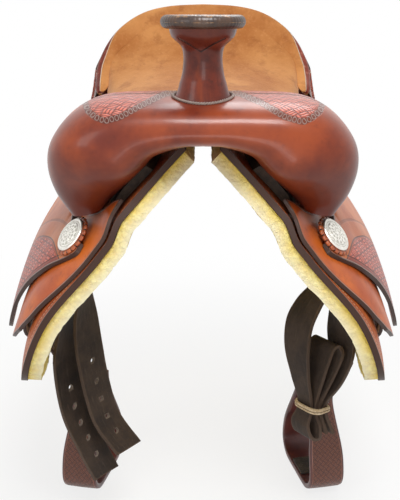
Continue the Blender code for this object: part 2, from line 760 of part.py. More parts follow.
def make_concho(word, which, frame):
    points = []
    for level in (0.0, ROSETTE_THICK):
        for i in range(ROSETTE_SCALLOPS * 2):
            turn = 2 * math.pi * i / (ROSETTE_SCALLOPS * 2)
            bump = 1.0 if i % 2 else 0.94
            radius = ROSETTE_RADIUS * bump
            points.append(frame @ Vector((radius * math.cos(turn), radius * math.sin(turn), level)))
    count = ROSETTE_SCALLOPS * 2
    loft(f"rosette_{which}_{word}", [points[:count], points[count:]], DARK)
    r, h = CONCHO_RADIUS, CONCHO_THICK
    profile = [(0.0, h + 0.0015), (r * 0.35, h + 0.0012), (r * 0.68, h + 0.0002), (r * 0.74, h - 0.0006),
               (r * 0.95, h - 0.0006), (r, h * 0.5), (r * 0.97, 0.0), (0.0, -0.00001)]
    turned(f"concho_{which}_{word}", profile, SILVER,
           frame @ Matrix.Translation((0.0, 0.0, ROSETTE_THICK + GAP)), 20)


def make_rigging(word, sign):
    half_y = SLOT_LENGTH / 2 + PLATE_MARGIN
    half_u = (SLOT_PITCH + SLOT_HEIGHT) / 2 + PLATE_MARGIN
    base = SKIRT_THICK + LAY_GAP
    under, over = [], []
    for b in steps(7):
        rise = 2 * b - 1
        drop = RIGGING_DROP + half_u * rise
        reach = half_y * (1 - 0.12 * rise ** 4)
        line = [RIGGING_Y + reach * (2 * a - 1) for a in steps(5)]
        under.append([side(drop, y, base, sign) for y in line])
        over.append([side(drop, y, base + PLATE_THICK, sign) for y in line])
    plate = slab(f"rigging_plate_{word}", over, under, STEEL)
    cut_slots(plate, sign, 0.0)


def ribbon(name, centre, across, thickness, material, columns=3):
    """A strap along centre points, with an across half-width vector at each."""
    rows = []
    for place, half in zip(centre, across):
        rows.append([place + half * (2 * a - 1) for a in steps(columns)])
    strap = grid(name, rows, material)
    shell = strap.modifiers.new("thickness", "SOLIDIFY")
    shell.thickness = thickness
    shell.offset = 0.0
    shell.use_even_offset = True
    return strap


def strap_row(sign, x, z, twist, half):
    """One station of a hanging strap: its middle, and half its width turned towards the front."""
    turn = math.radians(STRAP_TWIST) * twist
    across = Vector((-sign * math.sin(turn), math.cos(turn), 0.0)) * half
    return Vector((sign * x, RIGGING_Y, z)), across


def laced_strap(sign, inner, outer, count):
    """Middle line and half widths of a strap: up the inner strand, over the rigging's bar, down the outer."""
    within = -FLEECE_THICK - LAY_GAP
    without = SKIRT_THICK + LAY_GAP + PLATE_THICK + STRAP_THICK / 2 + 0.0008
    high, low = RIGGING_DROP - SLOT_PITCH / 2, RIGGING_DROP + SLOT_PITCH / 2
    bar = [
        (high, within + 0.001), (high, -0.006), (high + 0.0005, without - 0.007), (high + 0.0055, without - 0.0008),
        (RIGGING_DROP - 0.004, without), (RIGGING_DROP + 0.004, without),
        (low - 0.0055, without - 0.0008), (low - 0.0005, without - 0.007), (low, -0.006), (low, within + 0.001),
    ]
    half = STRAP_WIDTH / 2
    rows = [strap_row(sign, *spot) for spot in reversed(inner)]
    for drop, depth in bar:
        rows.append((side(drop, RIGGING_Y, depth, sign), side_across(drop, RIGGING_Y, half, sign)))
    rows += [strap_row(sign, *spot) for spot in outer]
    centre = [through([row[0] for row in rows], t) for t in steps(count)]
    across = [through([row[1] for row in rows], t) for t in steps(count)]
    return centre, across


def make_off_billet():
    half = STRAP_WIDTH / 2
    inner = [(0.1445, -0.196, 0.3, half), (0.1436, -0.235, 0.8, half), (0.1404, -0.279, 1.0, half),
             (0.1324, -0.331, 1.0, half), (0.1211, -0.372, 1.0, half), (0.0953, -0.413, 1.0, half)]
    outer = [(0.1655, -0.222, 0.3, half), (0.1690, -0.262, 0.8, half), (0.1698, -0.300, 1.0, half),
             (0.1625, -0.358, 1.0, half), (0.1440, -0.408, 1.0, half), (0.1262, -0.450, 1.0, half)]
    centre, across = laced_strap(-1, inner, outer, 61)
    strap = ribbon("off_billet", centre, across, STRAP_THICK, LATIGO, 2)
    lengths = [0.0]
    for a, b in zip(centre, centre[1:]):
        lengths.append(lengths[-1] + (b - a).length)
    work = bmesh.new()
    for end in (0, 1):
        for hole in range(5):
            along = 0.030 + HOLE_PITCH * hole
            goal = along if end == 0 else lengths[-1] - along
            i = min(range(1, len(centre) - 1), key=lambda k: abs(lengths[k] - goal))
            way = (centre[i + 1] - centre[i - 1]).normalized()
            frame = standing(centre[i], way.cross(across[i]).normalized()) @ Matrix.Rotation(0.3, 4, "Z")
            bmesh.ops.create_cone(
                work, cap_ends=True, segments=8, depth=STRAP_THICK * 4,
                radius1=HOLE_RADIUS, radius2=HOLE_RADIUS, matrix=frame,
            )
    mesh = bpy.data.meshes.new("billet_holes")
    work.to_mesh(mesh)
    work.free()
    holes = bpy.data.objects.new("billet_holes", mesh)
    cutters.objects.link(holes)
    cut(strap, holes)


# The latigo hangs in long folds that a thong gathers; across the gather they lie side by side
FOLD_X = (0.1290, 0.1353, 0.1416, 0.1479)
GATHER_HALF = 0.0125


def gathered(fold, down):
    """Two stations through the gather, so that each fold crosses it straight."""
    heights = (GATHER_Z + 0.008, GATHER_Z - 0.008)
    return [(FOLD_X[fold], z, 1.0, GATHER_HALF) for z in (heights if down else heights[::-1])]


def make_latigo():
    half = STRAP_WIDTH / 2
    inner = [(0.1440, -0.190, 0.3, half), (0.1290, -0.214, 0.8, half), (0.1185, -0.240, 1.0, half),
             (0.1165, -0.275, 1.0, 0.021), (0.1220, -0.312, 1.0, 0.016)]
    inner += gathered(0, True)
    inner += [(0.1240, -0.376, 1.0, 0.015), (0.1290, -0.392, 1.0, 0.016), (0.1385, -0.392, 1.0, 0.016),
              (0.1395, -0.376, 1.0, 0.015)]
    inner += gathered(1, False)
    inner += [(0.1380, -0.315, 1.0, 0.017), (0.1430, -0.286, 1.0, 0.020), (0.1480, -0.268, 1.0, 0.021),
              (0.1550, -0.264, 1.0, 0.021), (0.1590, -0.276, 1.0, 0.021), (0.1530, -0.302, 1.0, 0.018)]
    inner += gathered(2, True)
    inner += [(0.1475, -0.385, 1.0, 0.016)]
    outer = [(0.1655, -0.222, 0.4, half), (0.1700, -0.250, 1.0, half), (0.1710, -0.280, 1.0, 0.021),
             (0.1620, -0.315, 1.0, 0.017)]
    outer += gathered(3, True)
    outer += [(0.1560, -0.385, 1.0, 0.016)]
    centre, across = laced_strap(1, inner, outer, 97)
    ribbon("latigo", centre, across, STRAP_THICK, LATIGO, 2)

    # the thong round the gathered folds
    turn = math.radians(STRAP_TWIST)
    wide = Vector((-math.sin(turn), math.cos(turn), 0.0))
    deep = Vector((math.cos(turn), math.sin(turn), 0.0))
    middle = Vector(((FOLD_X[0] + FOLD_X[3]) / 2, RIGGING_Y, GATHER_Z))
    reach = (FOLD_X[3] - FOLD_X[0]) / 2 * math.cos(turn) + STRAP_THICK / 2 + 0.0022
    rings_out, rings_in = [], []
    for dz in (-0.0035, 0.0035):
        for rings, grow in ((rings_out, 0.003), (rings_in, 0.0)):
            ring = []
            for i in range(20):
                angle = 2 * math.pi * i / 20
                c, s = math.cos(angle), math.sin(angle)
                away = wide * (math.copysign(abs(c) ** 0.4, c) * (GATHER_HALF + 0.0075 + grow))
                out = deep * (math.copysign(abs(s) ** 0.4, s) * (reach + grow))
                ring.append(middle + away + out + Vector((0.0, 0.0, dz)))
            rings.append(ring)
    sleeve("latigo_tie", rings_out, rings_in, TAN)


# Fender and stirrup leather hang from the bar's groove; below the skirt they turn in to the stirrup
HANG_START = BAR_LOW_EDGE - 0.042
HANG_END = SKIRT_DROP + 0.008
HANG_LIFT = 0.004
HANG_SPOTS = [(mix(HANG_START, HANG_END, t), HANG_LIFT * t) for t in steps(11)]
HANG_FREE = [(0.052, 0.084), (0.030, 0.044)]
LOOP_REACH = ROLLER_RADIUS + STRAP_THICK / 2 + 0.0008
LEATHER_STEPS = 26


def hanging_route(sign):
    """Middle of the stirrup leather from the groove to the side of the stirrup's bolt."""
    y = LEATHER_SLOT_Y
    spots = [side(drop, y, LEATHER_DEPTH + STRAP_THICK / 2 + lift, sign) for drop, lift in HANG_SPOTS]
    for away, rise in HANG_FREE:
        spots.append(Vector((sign * (HANG_X + away), y, BOLT_Z + rise)))
    spots.append(Vector((sign * (HANG_X + LOOP_REACH), y, BOLT_Z)))
    return spots


def hang_point(t, away, extra, sign):
    """Point of a layer that hangs with the stirrup leather, at t down it and away from its middle line."""
    route = hanging_route(sign)
    place = through(route, t)
    down = through(route, t + 0.01) - through(route, t - 0.01)
    spans = len(route) - 1
    drop = through([(d, 0.0, 0.0) for d, _ in HANG_SPOTS], t * spans / (len(HANG_SPOTS) - 1)).x
    lay = side(drop, LEATHER_SLOT_Y + away, 0.0, sign) - side(drop, LEATHER_SLOT_Y, 0.0, sign)
    free = ease((t - 0.72) / 0.24)
    lay = lay.lerp(Vector((0.0, away, 0.0)), ease((t - 0.78) / 0.14))
    lay = Matrix.Rotation(sign * math.radians(STIRRUP_YAW) * free, 3, "Z") @ lay
    across = Matrix.Rotation(sign * math.radians(STIRRUP_YAW) * free, 3, "Z") @ side_across(
        drop, LEATHER_SLOT_Y, 0.02, sign)
    out = down.cross(across).normalized() * sign
    return place + lay + out * extra


def yaw_vector(sign):
    turn = math.radians(STIRRUP_YAW)
    return Vector((-sign * math.sin(turn), math.cos(turn), 0.0))


def make_leather(word, sign):
    rows = []
    half = STRAP_WIDTH / 2
    for t in steps(LEATHER_STEPS + 1):
        rows.append([hang_point(t, half * (2 * a - 1), 0.0, sign) for a in steps(3)])
    axle = Vector((sign * HANG_X, LEATHER_SLOT_Y, BOLT_Z))
    flat = yaw_vector(sign)
    out = Vector((flat.y, -flat.x, 0.0)) * sign
    around = []
    for i in range(1, 9):
        turn = math.pi * i / 8
        level = Vector((0.0, 0.0, -LOOP_REACH * math.sin(turn)))
        around.append(axle + out * (LOOP_REACH * math.cos(turn)) + level)
    for rise in (0.012, 0.026):
        around.append(axle - out * (LOOP_REACH - 0.10 * rise) + Vector((0.0, 0.0, rise)))
    for place in around:
        rows.append([place + flat * half * (2 * a - 1) for a in steps(3)])
    leather = grid(f"stirrup_leather_{word}", rows, LATIGO, flip=sign < 0)
    shell = leather.modifiers.new("thickness", "SOLIDIFY")
    shell.thickness = STRAP_THICK
    shell.offset = 0.0
    shell.use_even_offset = True


FENDER_SHAPE = [0.55, 0.86, 1.0, 0.97, 0.86, 0.64, 0.38, 0.25]


def make_fender(word, sign):
    rows = []
    lift = STRAP_THICK / 2 + LAY_GAP + 0.0001
    first, last = 4, 24
    for i in range(first, last + 1):
        t = i / LEATHER_STEPS
        b = (i - first) / (last - first)
        wide = through([(s, 0.0, 0.0) for s in FENDER_SHAPE], b).x * FENDER_WIDTH / 2
        rows.append([hang_point(t, wide * (2 * a - 1), lift, sign) for a in steps(5)])
    fender = grid(f"fender_{word}", rows, RUSSET, flip=sign < 0)
    thicken(fender, FENDER_THICK)


def stirrup_frame(sign):
    """X outward across the tread, Y along the bolt, Z up, at the bolt's middle."""
    along = yaw_vector(sign)
    out = Vector((along.y, -along.x, 0.0))
    return Matrix((
        (out.x, along.x, 0.0, sign * HANG_X),
        (out.y, along.y, 0.0, LEATHER_SLOT_Y),
        (0.0, 0.0, 1.0, BOLT_Z),
        (0.0, 0.0, 0.0, 1.0),
    ))


def make_stirrup(word, sign):
    frame = stirrup_frame(sign)
    lie = frame @ Matrix.Rotation(math.radians(90), 4, "X")
    top, wide, tall = STIRRUP_TOP_WIDTH / 2, STIRRUP_INSIDE_WIDTH / 2, STIRRUP_HEIGHT
    lift = 0.012
    half = [(top, lift), (top + 0.001, -0.010), (top + 0.012, -0.040), (wide - 0.006, -0.075),
            (wide, -0.100), (wide - 0.003, -tall + lift + 0.012), (wide - 0.016, -tall + lift + 0.002),
            (wide - 0.036, -tall + lift), (0.0, -tall + lift)]
    path = [(-y, z) for y, z in half] + [(y, z) for y, z in half[:-1][::-1]]
    count = 27
    spots = [through([(0.0, y, z) for y, z in path], t) for t in steps(count)]
    rings = []
    for i, spot in enumerate(spots):
        ahead = spots[min(i + 1, count - 1)] - spots[max(i - 1, 0)]
        away = Vector((0.0, ahead.z, -ahead.y)).normalized() * -1.0
        low = ease(-spot.z / 0.085)
        deep = mix(STIRRUP_DEPTH_TOP, STIRRUP_DEPTH_LOW, low) / 2
        band = STIRRUP_BAND
        ring = []
        for x, o in ((-deep, 0.15), (-deep, 0.85), (-deep + 0.002, 1.0), (deep - 0.002, 1.0),
                     (deep, 0.85), (deep, 0.15), (deep - 0.002, 0.0), (-deep + 0.002, 0.0)):
            ring.append(frame @ (spot + Vector((x, 0.0, 0.0)) - away * (band * o)))
        rings.append(ring)
    stirrup = loft(f"stirrup_{word}", rings, TOOLED)

    reach = top + STIRRUP_BAND + 0.0060

    def rod(name, radius, length, collection, material, segments):
        mesh = bpy.data.meshes.new(name)
        work = bmesh.new()
        bmesh.ops.create_cone(
            work, cap_ends=True, segments=segments, depth=length, radius1=radius, radius2=radius
        )
        work.to_mesh(mesh)
        work.free()
        thing = bpy.data.objects.new(name, mesh)
        collection.objects.link(thing)
        if material:
            mesh.materials.append(material)
        thing.matrix_world = lie
        return thing

    cut(stirrup, rod(f"bolt_hole_{word}", BOLT_RADIUS + GAP, 2 * reach + 0.02, cutters, None, 16))
    head = 0.0032
    profile = [(0.0, reach), (BOLT_RADIUS * 1.7, reach), (BOLT_RADIUS * 1.7, reach - head),
               (BOLT_RADIUS, reach - head), (BOLT_RADIUS, head - reach), (BOLT_RADIUS * 1.7, head - reach),
               (BOLT_RADIUS * 1.7, -reach), (0.0, -reach)]
    turned(f"stirrup_bolt_{word}", profile, STEEL, lie, 16)
    bore, outer, length = BOLT_RADIUS + RUNNING_GAP, ROLLER_RADIUS, STRAP_WIDTH / 2
    ring_profile = [(bore, length), (outer, length), (outer, -length), (bore, -length), (bore, length)]
    turned(f"stirrup_roller_{word}", ring_profile, STEEL, lie, 20)

    # tread pad laid on the inner face of the bottom
    floor = -tall + lift + GAP
    long, deep = wide - 0.040, STIRRUP_DEPTH_LOW / 2 - 0.002
    corners = [(-deep, -long), (deep, -long), (deep, long), (-deep, long)]
    rings = [[frame @ Vector((x, y, z)) for x, y in corners] for z in (floor, floor + TREAD_THICK)]
    loft(f"stirrup_tread_{word}", rings, RUBBER)


def make_hobble(word, sign):
    """The strap buckled round the fender's tail and the stirrup leather, above the stirrup."""
    rings_in, rings_out = [], []
    for t in (0.905, 0.945):
        middle = hang_point(t, 0.0, 0.0, sign)
        edge = hang_point(t, STRAP_WIDTH / 2, 0.0, sign) - middle
        out = (hang_point(t, 0.0, 0.001, sign) - middle).normalized()
        flat = edge.normalized()
        for rings, grow in ((rings_in, 0.0), (rings_out, 0.003)):
            ring = []
            for i in range(24):
                turn = 2 * math.pi * i / 24
                c, s = math.cos(turn), math.sin(turn)
                lift = 0.0022 + math.copysign(abs(c) ** 0.35, c) * (0.0066 + grow)
                away = math.copysign(abs(s) ** 0.35, s) * (STRAP_WIDTH / 2 + 0.0040 + grow)
                ring.append(middle + flat * away + out * lift)
            rings.append(ring)
    sleeve(f"hobble_strap_{word}", rings_out, rings_in, DARK)


for side_word, side_sign in (("left", 1), ("right", -1)):
    make_skirts(side_word, side_sign)
    make_bar(side_word, side_sign)
    make_jockeys(side_word, side_sign)
    make_rigging(side_word, side_sign)
    stack = 2 * JOCKEY_THICK + 2 * LAY_GAP + 0.0002
    make_concho(side_word, "front", layer_frame(CONCHO_Y, CONCHO_DROP, stack, side_sign))
    rear_stack = SKIRT_THICK + BAR_THICK + JOCKEY_THICK - 0.0005
    place = side(REAR_CONCHO_DROP, REAR_CONCHO_Y, rear_stack, side_sign)
    rear_frame = standing(place, side_normal(REAR_CONCHO_DROP, REAR_CONCHO_Y, side_sign))
    make_concho(side_word, "rear", rear_frame)
    make_leather(side_word, side_sign)
    make_fender(side_word, side_sign)
    make_stirrup(side_word, side_sign)
    make_hobble(side_word, side_sign)

make_swell()
make_horn()
make_seat()
make_cantle()
make_off_billet()
make_latigo()
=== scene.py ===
# Trail saddle: the dressed model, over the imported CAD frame. Metres, +Z up, the front faces -Y.

import json
import math

import bmesh
import bpy
import numpy as np
from mathutils import Matrix, Vector, noise
from mathutils.bvhtree import BVHTree

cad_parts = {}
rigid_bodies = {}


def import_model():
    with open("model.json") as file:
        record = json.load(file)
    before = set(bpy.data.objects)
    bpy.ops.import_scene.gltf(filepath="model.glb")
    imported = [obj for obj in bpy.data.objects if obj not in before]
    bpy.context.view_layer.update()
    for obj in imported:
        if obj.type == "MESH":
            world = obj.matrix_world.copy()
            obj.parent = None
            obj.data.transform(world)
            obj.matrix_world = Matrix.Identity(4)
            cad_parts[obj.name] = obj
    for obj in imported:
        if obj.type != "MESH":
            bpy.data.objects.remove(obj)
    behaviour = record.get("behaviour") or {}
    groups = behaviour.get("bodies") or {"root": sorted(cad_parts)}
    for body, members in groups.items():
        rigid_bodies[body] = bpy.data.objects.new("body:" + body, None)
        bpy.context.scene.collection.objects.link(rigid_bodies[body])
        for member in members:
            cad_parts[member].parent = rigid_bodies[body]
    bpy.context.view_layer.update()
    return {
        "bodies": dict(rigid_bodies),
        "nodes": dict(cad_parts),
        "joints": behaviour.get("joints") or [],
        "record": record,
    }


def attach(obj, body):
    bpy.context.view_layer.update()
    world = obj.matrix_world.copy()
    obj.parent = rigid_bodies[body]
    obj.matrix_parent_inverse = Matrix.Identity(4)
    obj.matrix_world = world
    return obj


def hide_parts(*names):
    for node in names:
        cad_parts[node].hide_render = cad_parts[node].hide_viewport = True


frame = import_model()

# The camera of the photograph: 400 x 500 pixels, looking down a little from the front
view = {"place": Vector((0.0, -0.95, 0.19)), "down": 18.0, "focal": 905.0, "width": 400, "height": 500,
        "middle": (203, 250), "sensor": 36.0}

# Main sizes, the same values as in the part's source
gauge = {"lay": 0.0009, "skirt": 0.007, "fleece": 0.017, "jockey": 0.0045, "fender": 0.0045, "strap": 0.004,
         "cover": 0.004, "pad": 0.01, "bar": 0.016}
flank = {"radius": 0.868, "startX": 0.018, "startZ": -0.006, "slopeFront": 43.0, "slopeRear": 38.0, "slopeAt": 0.4,
         "curlDrop": 0.235, "curlRadius": 0.2, "dip": 0.0085, "dipLength": 0.085, "dipFrom": 0.095, "dipIn": 0.035,
         "dipUntil": 0.15, "dipOut": 0.095, "flare": 0.01, "flareLength": 0.06, "flareDrop": 0.1, "flareBlend": 0.13}
skirtSize = {"frontY": -0.035, "length": 0.686, "drop": 0.344, "fleeceInset": 0.003}
swellSize = {"height": 0.05, "half": 0.1685, "frontY": -0.055, "rearY": 0.08, "lean": 0.016,
             "endFrontY": -0.006, "endDrop": 0.11, "barTip": 0.011, "endFrom": 0.45, "corner": 0.72}
hornSize = {"y": 0.002, "tilt": -3.0, "capZ": 0.1215, "capRadius": 0.0297, "capThick": 0.011, "neck": 0.0205,
            "foot": 0.0305, "straight": 0.006, "binding": 0.0066}
rigging = {"y": 0.08, "drop": 0.222, "pitch": 0.032, "slotLength": 0.052, "slotHeight": 0.016, "plate": 0.003,
           "twist": 37.0, "gatherZ": -0.351, "strapHalf": 0.022, "hole": 0.0032, "holePitch": 0.0254}
hang = {"slotY": 0.21, "depth": 0.0105, "x": 0.158, "boltZ": -0.392, "yaw": 12.0, "start": 0.08, "end": 0.352,
        "lift": 0.004, "roller": 0.009, "fenderWidth": 0.152, "fenderSpan": (4 / 26, 24 / 26),
        "levelFrom": 0.78, "levelIn": 0.14, "turnFrom": 0.72, "turnIn": 0.24}
stirrupSize = {"height": 0.138, "inside": 0.12, "top": 0.056, "band": 0.008, "depthLow": 0.048, "depthTop": 0.03,
               "bore": 0.0045, "tread": 0.003, "rib": 0.0009, "ribs": 17}
jockeyDepth = hang["depth"] + gauge["strap"] + 0.0003 + gauge["fender"] + 0.0012
sideWords = (("left", 1), ("right", -1))
up = Vector((0.0, 0.0, 1.0))


def ease(value):
    value = min(max(value, 0.0), 1.0)
    return value * value * (3.0 - 2.0 * value)


def mix(a, b, t):
    return a + (b - a) * t


def steps(count):
    return [i / (count - 1) for i in range(count)]


def angles(count):
    return [2 * math.pi * i / count for i in range(count)]


def polar(radius, turn, height=0.0):
    return Vector((radius * math.cos(turn), radius * math.sin(turn), height))


# cosine and sine of an angle, squared off to a rounded rectangle where the power is under 1
def boxed(angle, power):
    c, s = math.cos(angle), math.sin(angle)
    return math.copysign(abs(c) ** power, c), math.copysign(abs(s) ** power, s)


# point at t, from 0 to 1, on one smooth curve through the points
def through(points, t):
    spans = len(points) - 1
    place = min(max(t, 0.0), 1.0) * spans
    i = min(int(place), spans - 1)
    p1, p2 = Vector(points[i]), Vector(points[i + 1])
    p0 = Vector(points[i - 1]) if i > 0 else p1 * 2.0 - p2
    p3 = Vector(points[i + 2]) if i + 2 <= spans else p2 * 2.0 - p1
    f = place - i
    slope, bend = (p0 * 2.0 - p1 * 5.0 + p2 * 4.0 - p3), (p1 * 3.0 - p0 - p2 * 3.0 + p3)
    return 0.5 * (p1 * 2.0 + (p2 - p0) * f + slope * f * f + bend * f * f * f)


def smoothValue(values, t):
    return through([(value, 0.0, 0.0) for value in values], t).x


# the points of a path and the direction along it at each
def directions(path):
    last = len(path) - 1
    return [path[min(i + 1, last)] - path[max(i - 1, 0)] for i in range(last + 1)]


# point on the horse's side: drop down the slope, y along it, depth out from the skirt's inner face
def sidePoint(drop, y, depth, sign=1):
    s = flank
    start = math.radians(mix(s["slopeFront"], s["slopeRear"], ease(y / s["slopeAt"])))
    turn = start + min(drop, s["curlDrop"]) / s["radius"]
    x = s["startX"] + s["radius"] * (math.sin(turn) - math.sin(start))
    z = s["startZ"] + s["radius"] * (math.cos(turn) - math.cos(start))
    if drop > s["curlDrop"]:
        bend, turn = turn, turn + (drop - s["curlDrop"]) / s["curlRadius"]
        x += s["curlRadius"] * (math.sin(turn) - math.sin(bend))
        z += s["curlRadius"] * (math.cos(turn) - math.cos(bend))
    front = skirtSize["frontY"]
    short = min(max((front + s["flareLength"] - y) / s["flareLength"], 0.0), 1.0)
    depth += s["flare"] * (1.0 - short * short) * ease((drop - s["flareDrop"]) / s["flareBlend"])
    dip = ease((drop - s["dipFrom"]) / s["dipIn"]) * (1.0 - ease((drop - s["dipUntil"]) / s["dipOut"]))
    depth -= s["dip"] * dip * (1.0 - ease((y - front) / s["dipLength"]))
    return Vector((sign * (x + depth * math.sin(turn)), y, z + depth * math.cos(turn)))


def sideAcross(drop, y, half, sign=1):
    return (sidePoint(drop, y + half, 0.0, sign) - sidePoint(drop, y - half, 0.0, sign)) / 2


# the (y, drop, depth) of a point on the left side
def sideCoords(place):
    low, high = -0.1, 0.6
    for _ in range(40):
        drop = (low + high) / 2
        here = sidePoint(drop, place.y, 0.0)
        ahead = sidePoint(drop + 0.001, place.y, 0.0) - here
        low, high = (drop, high) if (place - here).dot(ahead) > 0 else (low, drop)
    base = sidePoint(low, place.y, 0.0)
    return place.y, low, (place - base).dot((sidePoint(low, place.y, 1.0) - base).normalized())


# inner face of the jockeys: on the skirt at the front, over the fenders further back
def layerDepth(y):
    return mix(gauge["skirt"] + 0.0003, jockeyDepth, ease((y - skirtSize["frontY"]) / 0.08))


# pixels of the photograph for an array of places, and their distances from the camera
def toPicture(places):
    down = math.radians(view["down"])
    away = places - np.array(view["place"])
    far = away @ np.array((0.0, math.cos(down), -math.sin(down)))
    high = away @ np.array((0.0, math.sin(down), math.cos(down)))
    scale = view["focal"] / far
    return np.stack((view["middle"][0] + away[:, 0] * scale, view["middle"][1] - high * scale), 1), far


# distance from each point to a polyline, and how far along the line the nearest place is
def lineDistance(points, line):
    line = np.asarray(line, float)
    starts, spans = line[:-1], line[1:] - line[:-1]
    lengths = np.maximum(np.linalg.norm(spans, axis=1), 1e-9)
    runs = np.concatenate(([0.0], np.cumsum(lengths)[:-1]))
    best, run = np.full(len(points), 1e9), np.zeros(len(points))
    for start, span, length, before in zip(starts, spans, lengths, runs):
        t = np.clip((points - start) @ span / length ** 2, 0.0, 1.0)
        gap = np.linalg.norm(points - (start + t[:, None] * span), axis=1)
        near = gap < best
        best[near], run[near] = gap[near], before + t[near] * length
    return best, run


# Meshes
def setAttribute(mesh, name, values):
    mesh.attributes.new(name, "FLOAT", "POINT").data.foreach_set("value", np.asarray(values, np.float32))


def addThing(name, data, spot=(0.0, 0.0, 0.0)):
    thing = bpy.data.objects.new(name, data)
    thing.location = spot
    bpy.context.scene.collection.objects.link(thing)
    return thing


# a smooth mesh; flat is a pair for each vertex, in metres on the opened-out leather
def buildMesh(name, points, faces, flat=None, attributes=None):
    mesh = bpy.data.meshes.new(name)
    mesh.from_pydata([tuple(p) for p in points], [], faces)
    if flat is not None:
        corners = np.zeros(len(mesh.loops), np.int32)
        mesh.loops.foreach_get("vertex_index", corners)
        layer = mesh.uv_layers.new(name="flat")
        layer.data.foreach_set("uv", np.asarray(flat, np.float32)[corners].ravel())
    for key, values in (attributes or {}).items():
        setAttribute(mesh, key, values)
    work = bmesh.new()
    work.from_mesh(mesh)
    bmesh.ops.recalc_face_normals(work, faces=work.faces)
    work.to_mesh(mesh)
    work.free()
    thing = addThing(name, mesh)
    mesh.shade_smooth()
    mesh.set_sharp_from_angle(angle=math.radians(50))
    return thing


def roundEdges(thing, width, segments=3):
    bevel = thing.modifiers.new("edges", "BEVEL")
    bevel.width, bevel.segments, bevel.limit_method = width, segments, "ANGLE"
    bevel.angle_limit = math.radians(50)
    bevel.use_clamp_overlap, bevel.harden_normals = True, False
    return thing


# cuts the closed cutters out of a piece and leaves none of them
def applyCut(thing, cutters):
    for cutter in cutters:
        cutting = thing.modifiers.new("slot", "BOOLEAN")
        cutting.operation, cutting.solver, cutting.object = "DIFFERENCE", "EXACT", cutter
    mesh = bpy.data.meshes.new_from_object(thing.evaluated_get(bpy.context.evaluated_depsgraph_get()))
    thing.modifiers.clear()
    thing.data = mesh
    for cutter in cutters:
        bpy.data.objects.remove(cutter)
    return thing


# grids of what place(a, b) gives, a along each row and b from row to row, one grid for each value it gives
def grids(rows, columns, place):
    table = [[place(a, b) for a in steps(columns)] for b in steps(rows)]
    return [[[cell[k] for cell in row] for row in table] for k in range(len(table[0][0]))]


def joined(rows):
    return [p for row in rows for p in row]


# the unit normal of a grid of points at each of them
def gridNormals(rows):
    last, downs = len(rows) - 1, []
    for r, row in enumerate(rows):
        ahead, behind = rows[min(r + 1, last)], rows[max(r - 1, 0)]
        downs.append([wide.cross(a - b).normalized() for wide, a, b in zip(directions(row), ahead, behind)])
    return downs


# a closed layer between two matching grids; its outline's distance and run are kept for the leather's edge
def slab(name, over, under, flat):
    rows, columns = len(over), len(over[0])
    base = rows * columns
    points = joined(over) + joined(under)
    faces = []
    for r in range(rows - 1):
        for c in range(columns - 1):
            a = r * columns + c
            quad = [a, a + columns, a + columns + 1, a + 1]
            faces += [quad, [base + k for k in reversed(quad)]]
    rim = list(range(columns)) + [r * columns + columns - 1 for r in range(1, rows)]
    rim += [(rows - 1) * columns + c for c in reversed(range(columns - 1))]
    rim += [r * columns for r in reversed(range(1, rows - 1))]
    faces += [[here, ahead, base + ahead, base + here] for here, ahead in zip(rim, rim[1:] + rim[:1])]
    top = np.array([tuple(p) for p in points[:base]])
    gap, run = lineDistance(top, top[rim + rim[:1]])
    outer = np.concatenate((np.ones(base), np.zeros(base)))
    values = {"rim": np.tile(gap, 2), "run": np.tile(run, 2), "face": outer}
    return buildMesh(name, points, faces, joined(flat) * 2, values)


# a tube through matching outer and inner rings, open at both ends; flat and the rest are for the outer rings
def tubeMesh(name, outer, inner, flat, attributes=None):
    count, last = len(outer[0]), len(outer) - 1
    base = len(outer) * count
    faces = []
    for c in range(count):
        d = (c + 1) % count
        for r in range(last):
            here, ahead = r * count, (r + 1) * count
            faces += [[here + c, here + d, ahead + d, ahead + c],
                      [base + here + d, base + here + c, base + ahead + c, base + ahead + d]]
        end = last * count
        faces += [[d, c, base + c, base + d], [end + c, end + d, base + end + d, base + end + c]]
    both = {key: np.concatenate((values, values)) for key, values in (attributes or {}).items()}
    return buildMesh(name, joined(outer + inner), faces, flat + flat, both)


# a solid through rings of equal length: with end caps, or closed on itself as a loop
def solidRings(name, rings, flat=None, attributes=None, loop=False):
    count, total = len(rings[0]), len(rings)
    faces = []
    for r in range(total if loop else total - 1):
        e = (r + 1) % total
        for c in range(count):
            d = (c + 1) % count
            faces.append([r * count + c, r * count + d, e * count + d, e * count + c])
    if not loop:
        faces += [list(range(count))[::-1], [(total - 1) * count + c for c in range(count)]]
    return buildMesh(name, joined(rings), faces, flat, attributes)


# a turned piece: the profile of (radius, height) runs from the top down the outer side, both ends on the axis
def turnedPiece(name, profile, matrix, segments=96):
    points, flat, faces = [], [], []
    for radius, height in profile[1:-1]:
        for turn in angles(segments):
            spot = polar(radius, turn, height)
            points.append(matrix @ spot)
            flat.append(spot[:2])
    count = len(points)
    points += [matrix @ (up * profile[k][1]) for k in (0, -1)]
    for i in range(segments):
        d = (i + 1) % segments
        faces.append([count, i, d])
        for r in range(0, count - segments, segments):
            faces.append([r + i, r + segments + i, r + segments + d, r + d])
        faces.append([count + 1, count - segments + d, count - segments + i])
    return buildMesh(name, points, faces, flat + [(0.0, 0.0), (0.0, 0.0)])


def standing(place, normal):
    return Matrix.Translation(place) @ Vector(normal).to_track_quat("Z", "Y").to_matrix().to_4x4()


# gives a piece its material, the body that it moves with and the CAD nodes that it stands for
def dress(thing, material, nodes=(), body="saddle"):
    thing.data.materials.clear()
    thing.data.materials.append(material)
    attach(thing, body)
    if nodes:
        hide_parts(*nodes)
    return thing


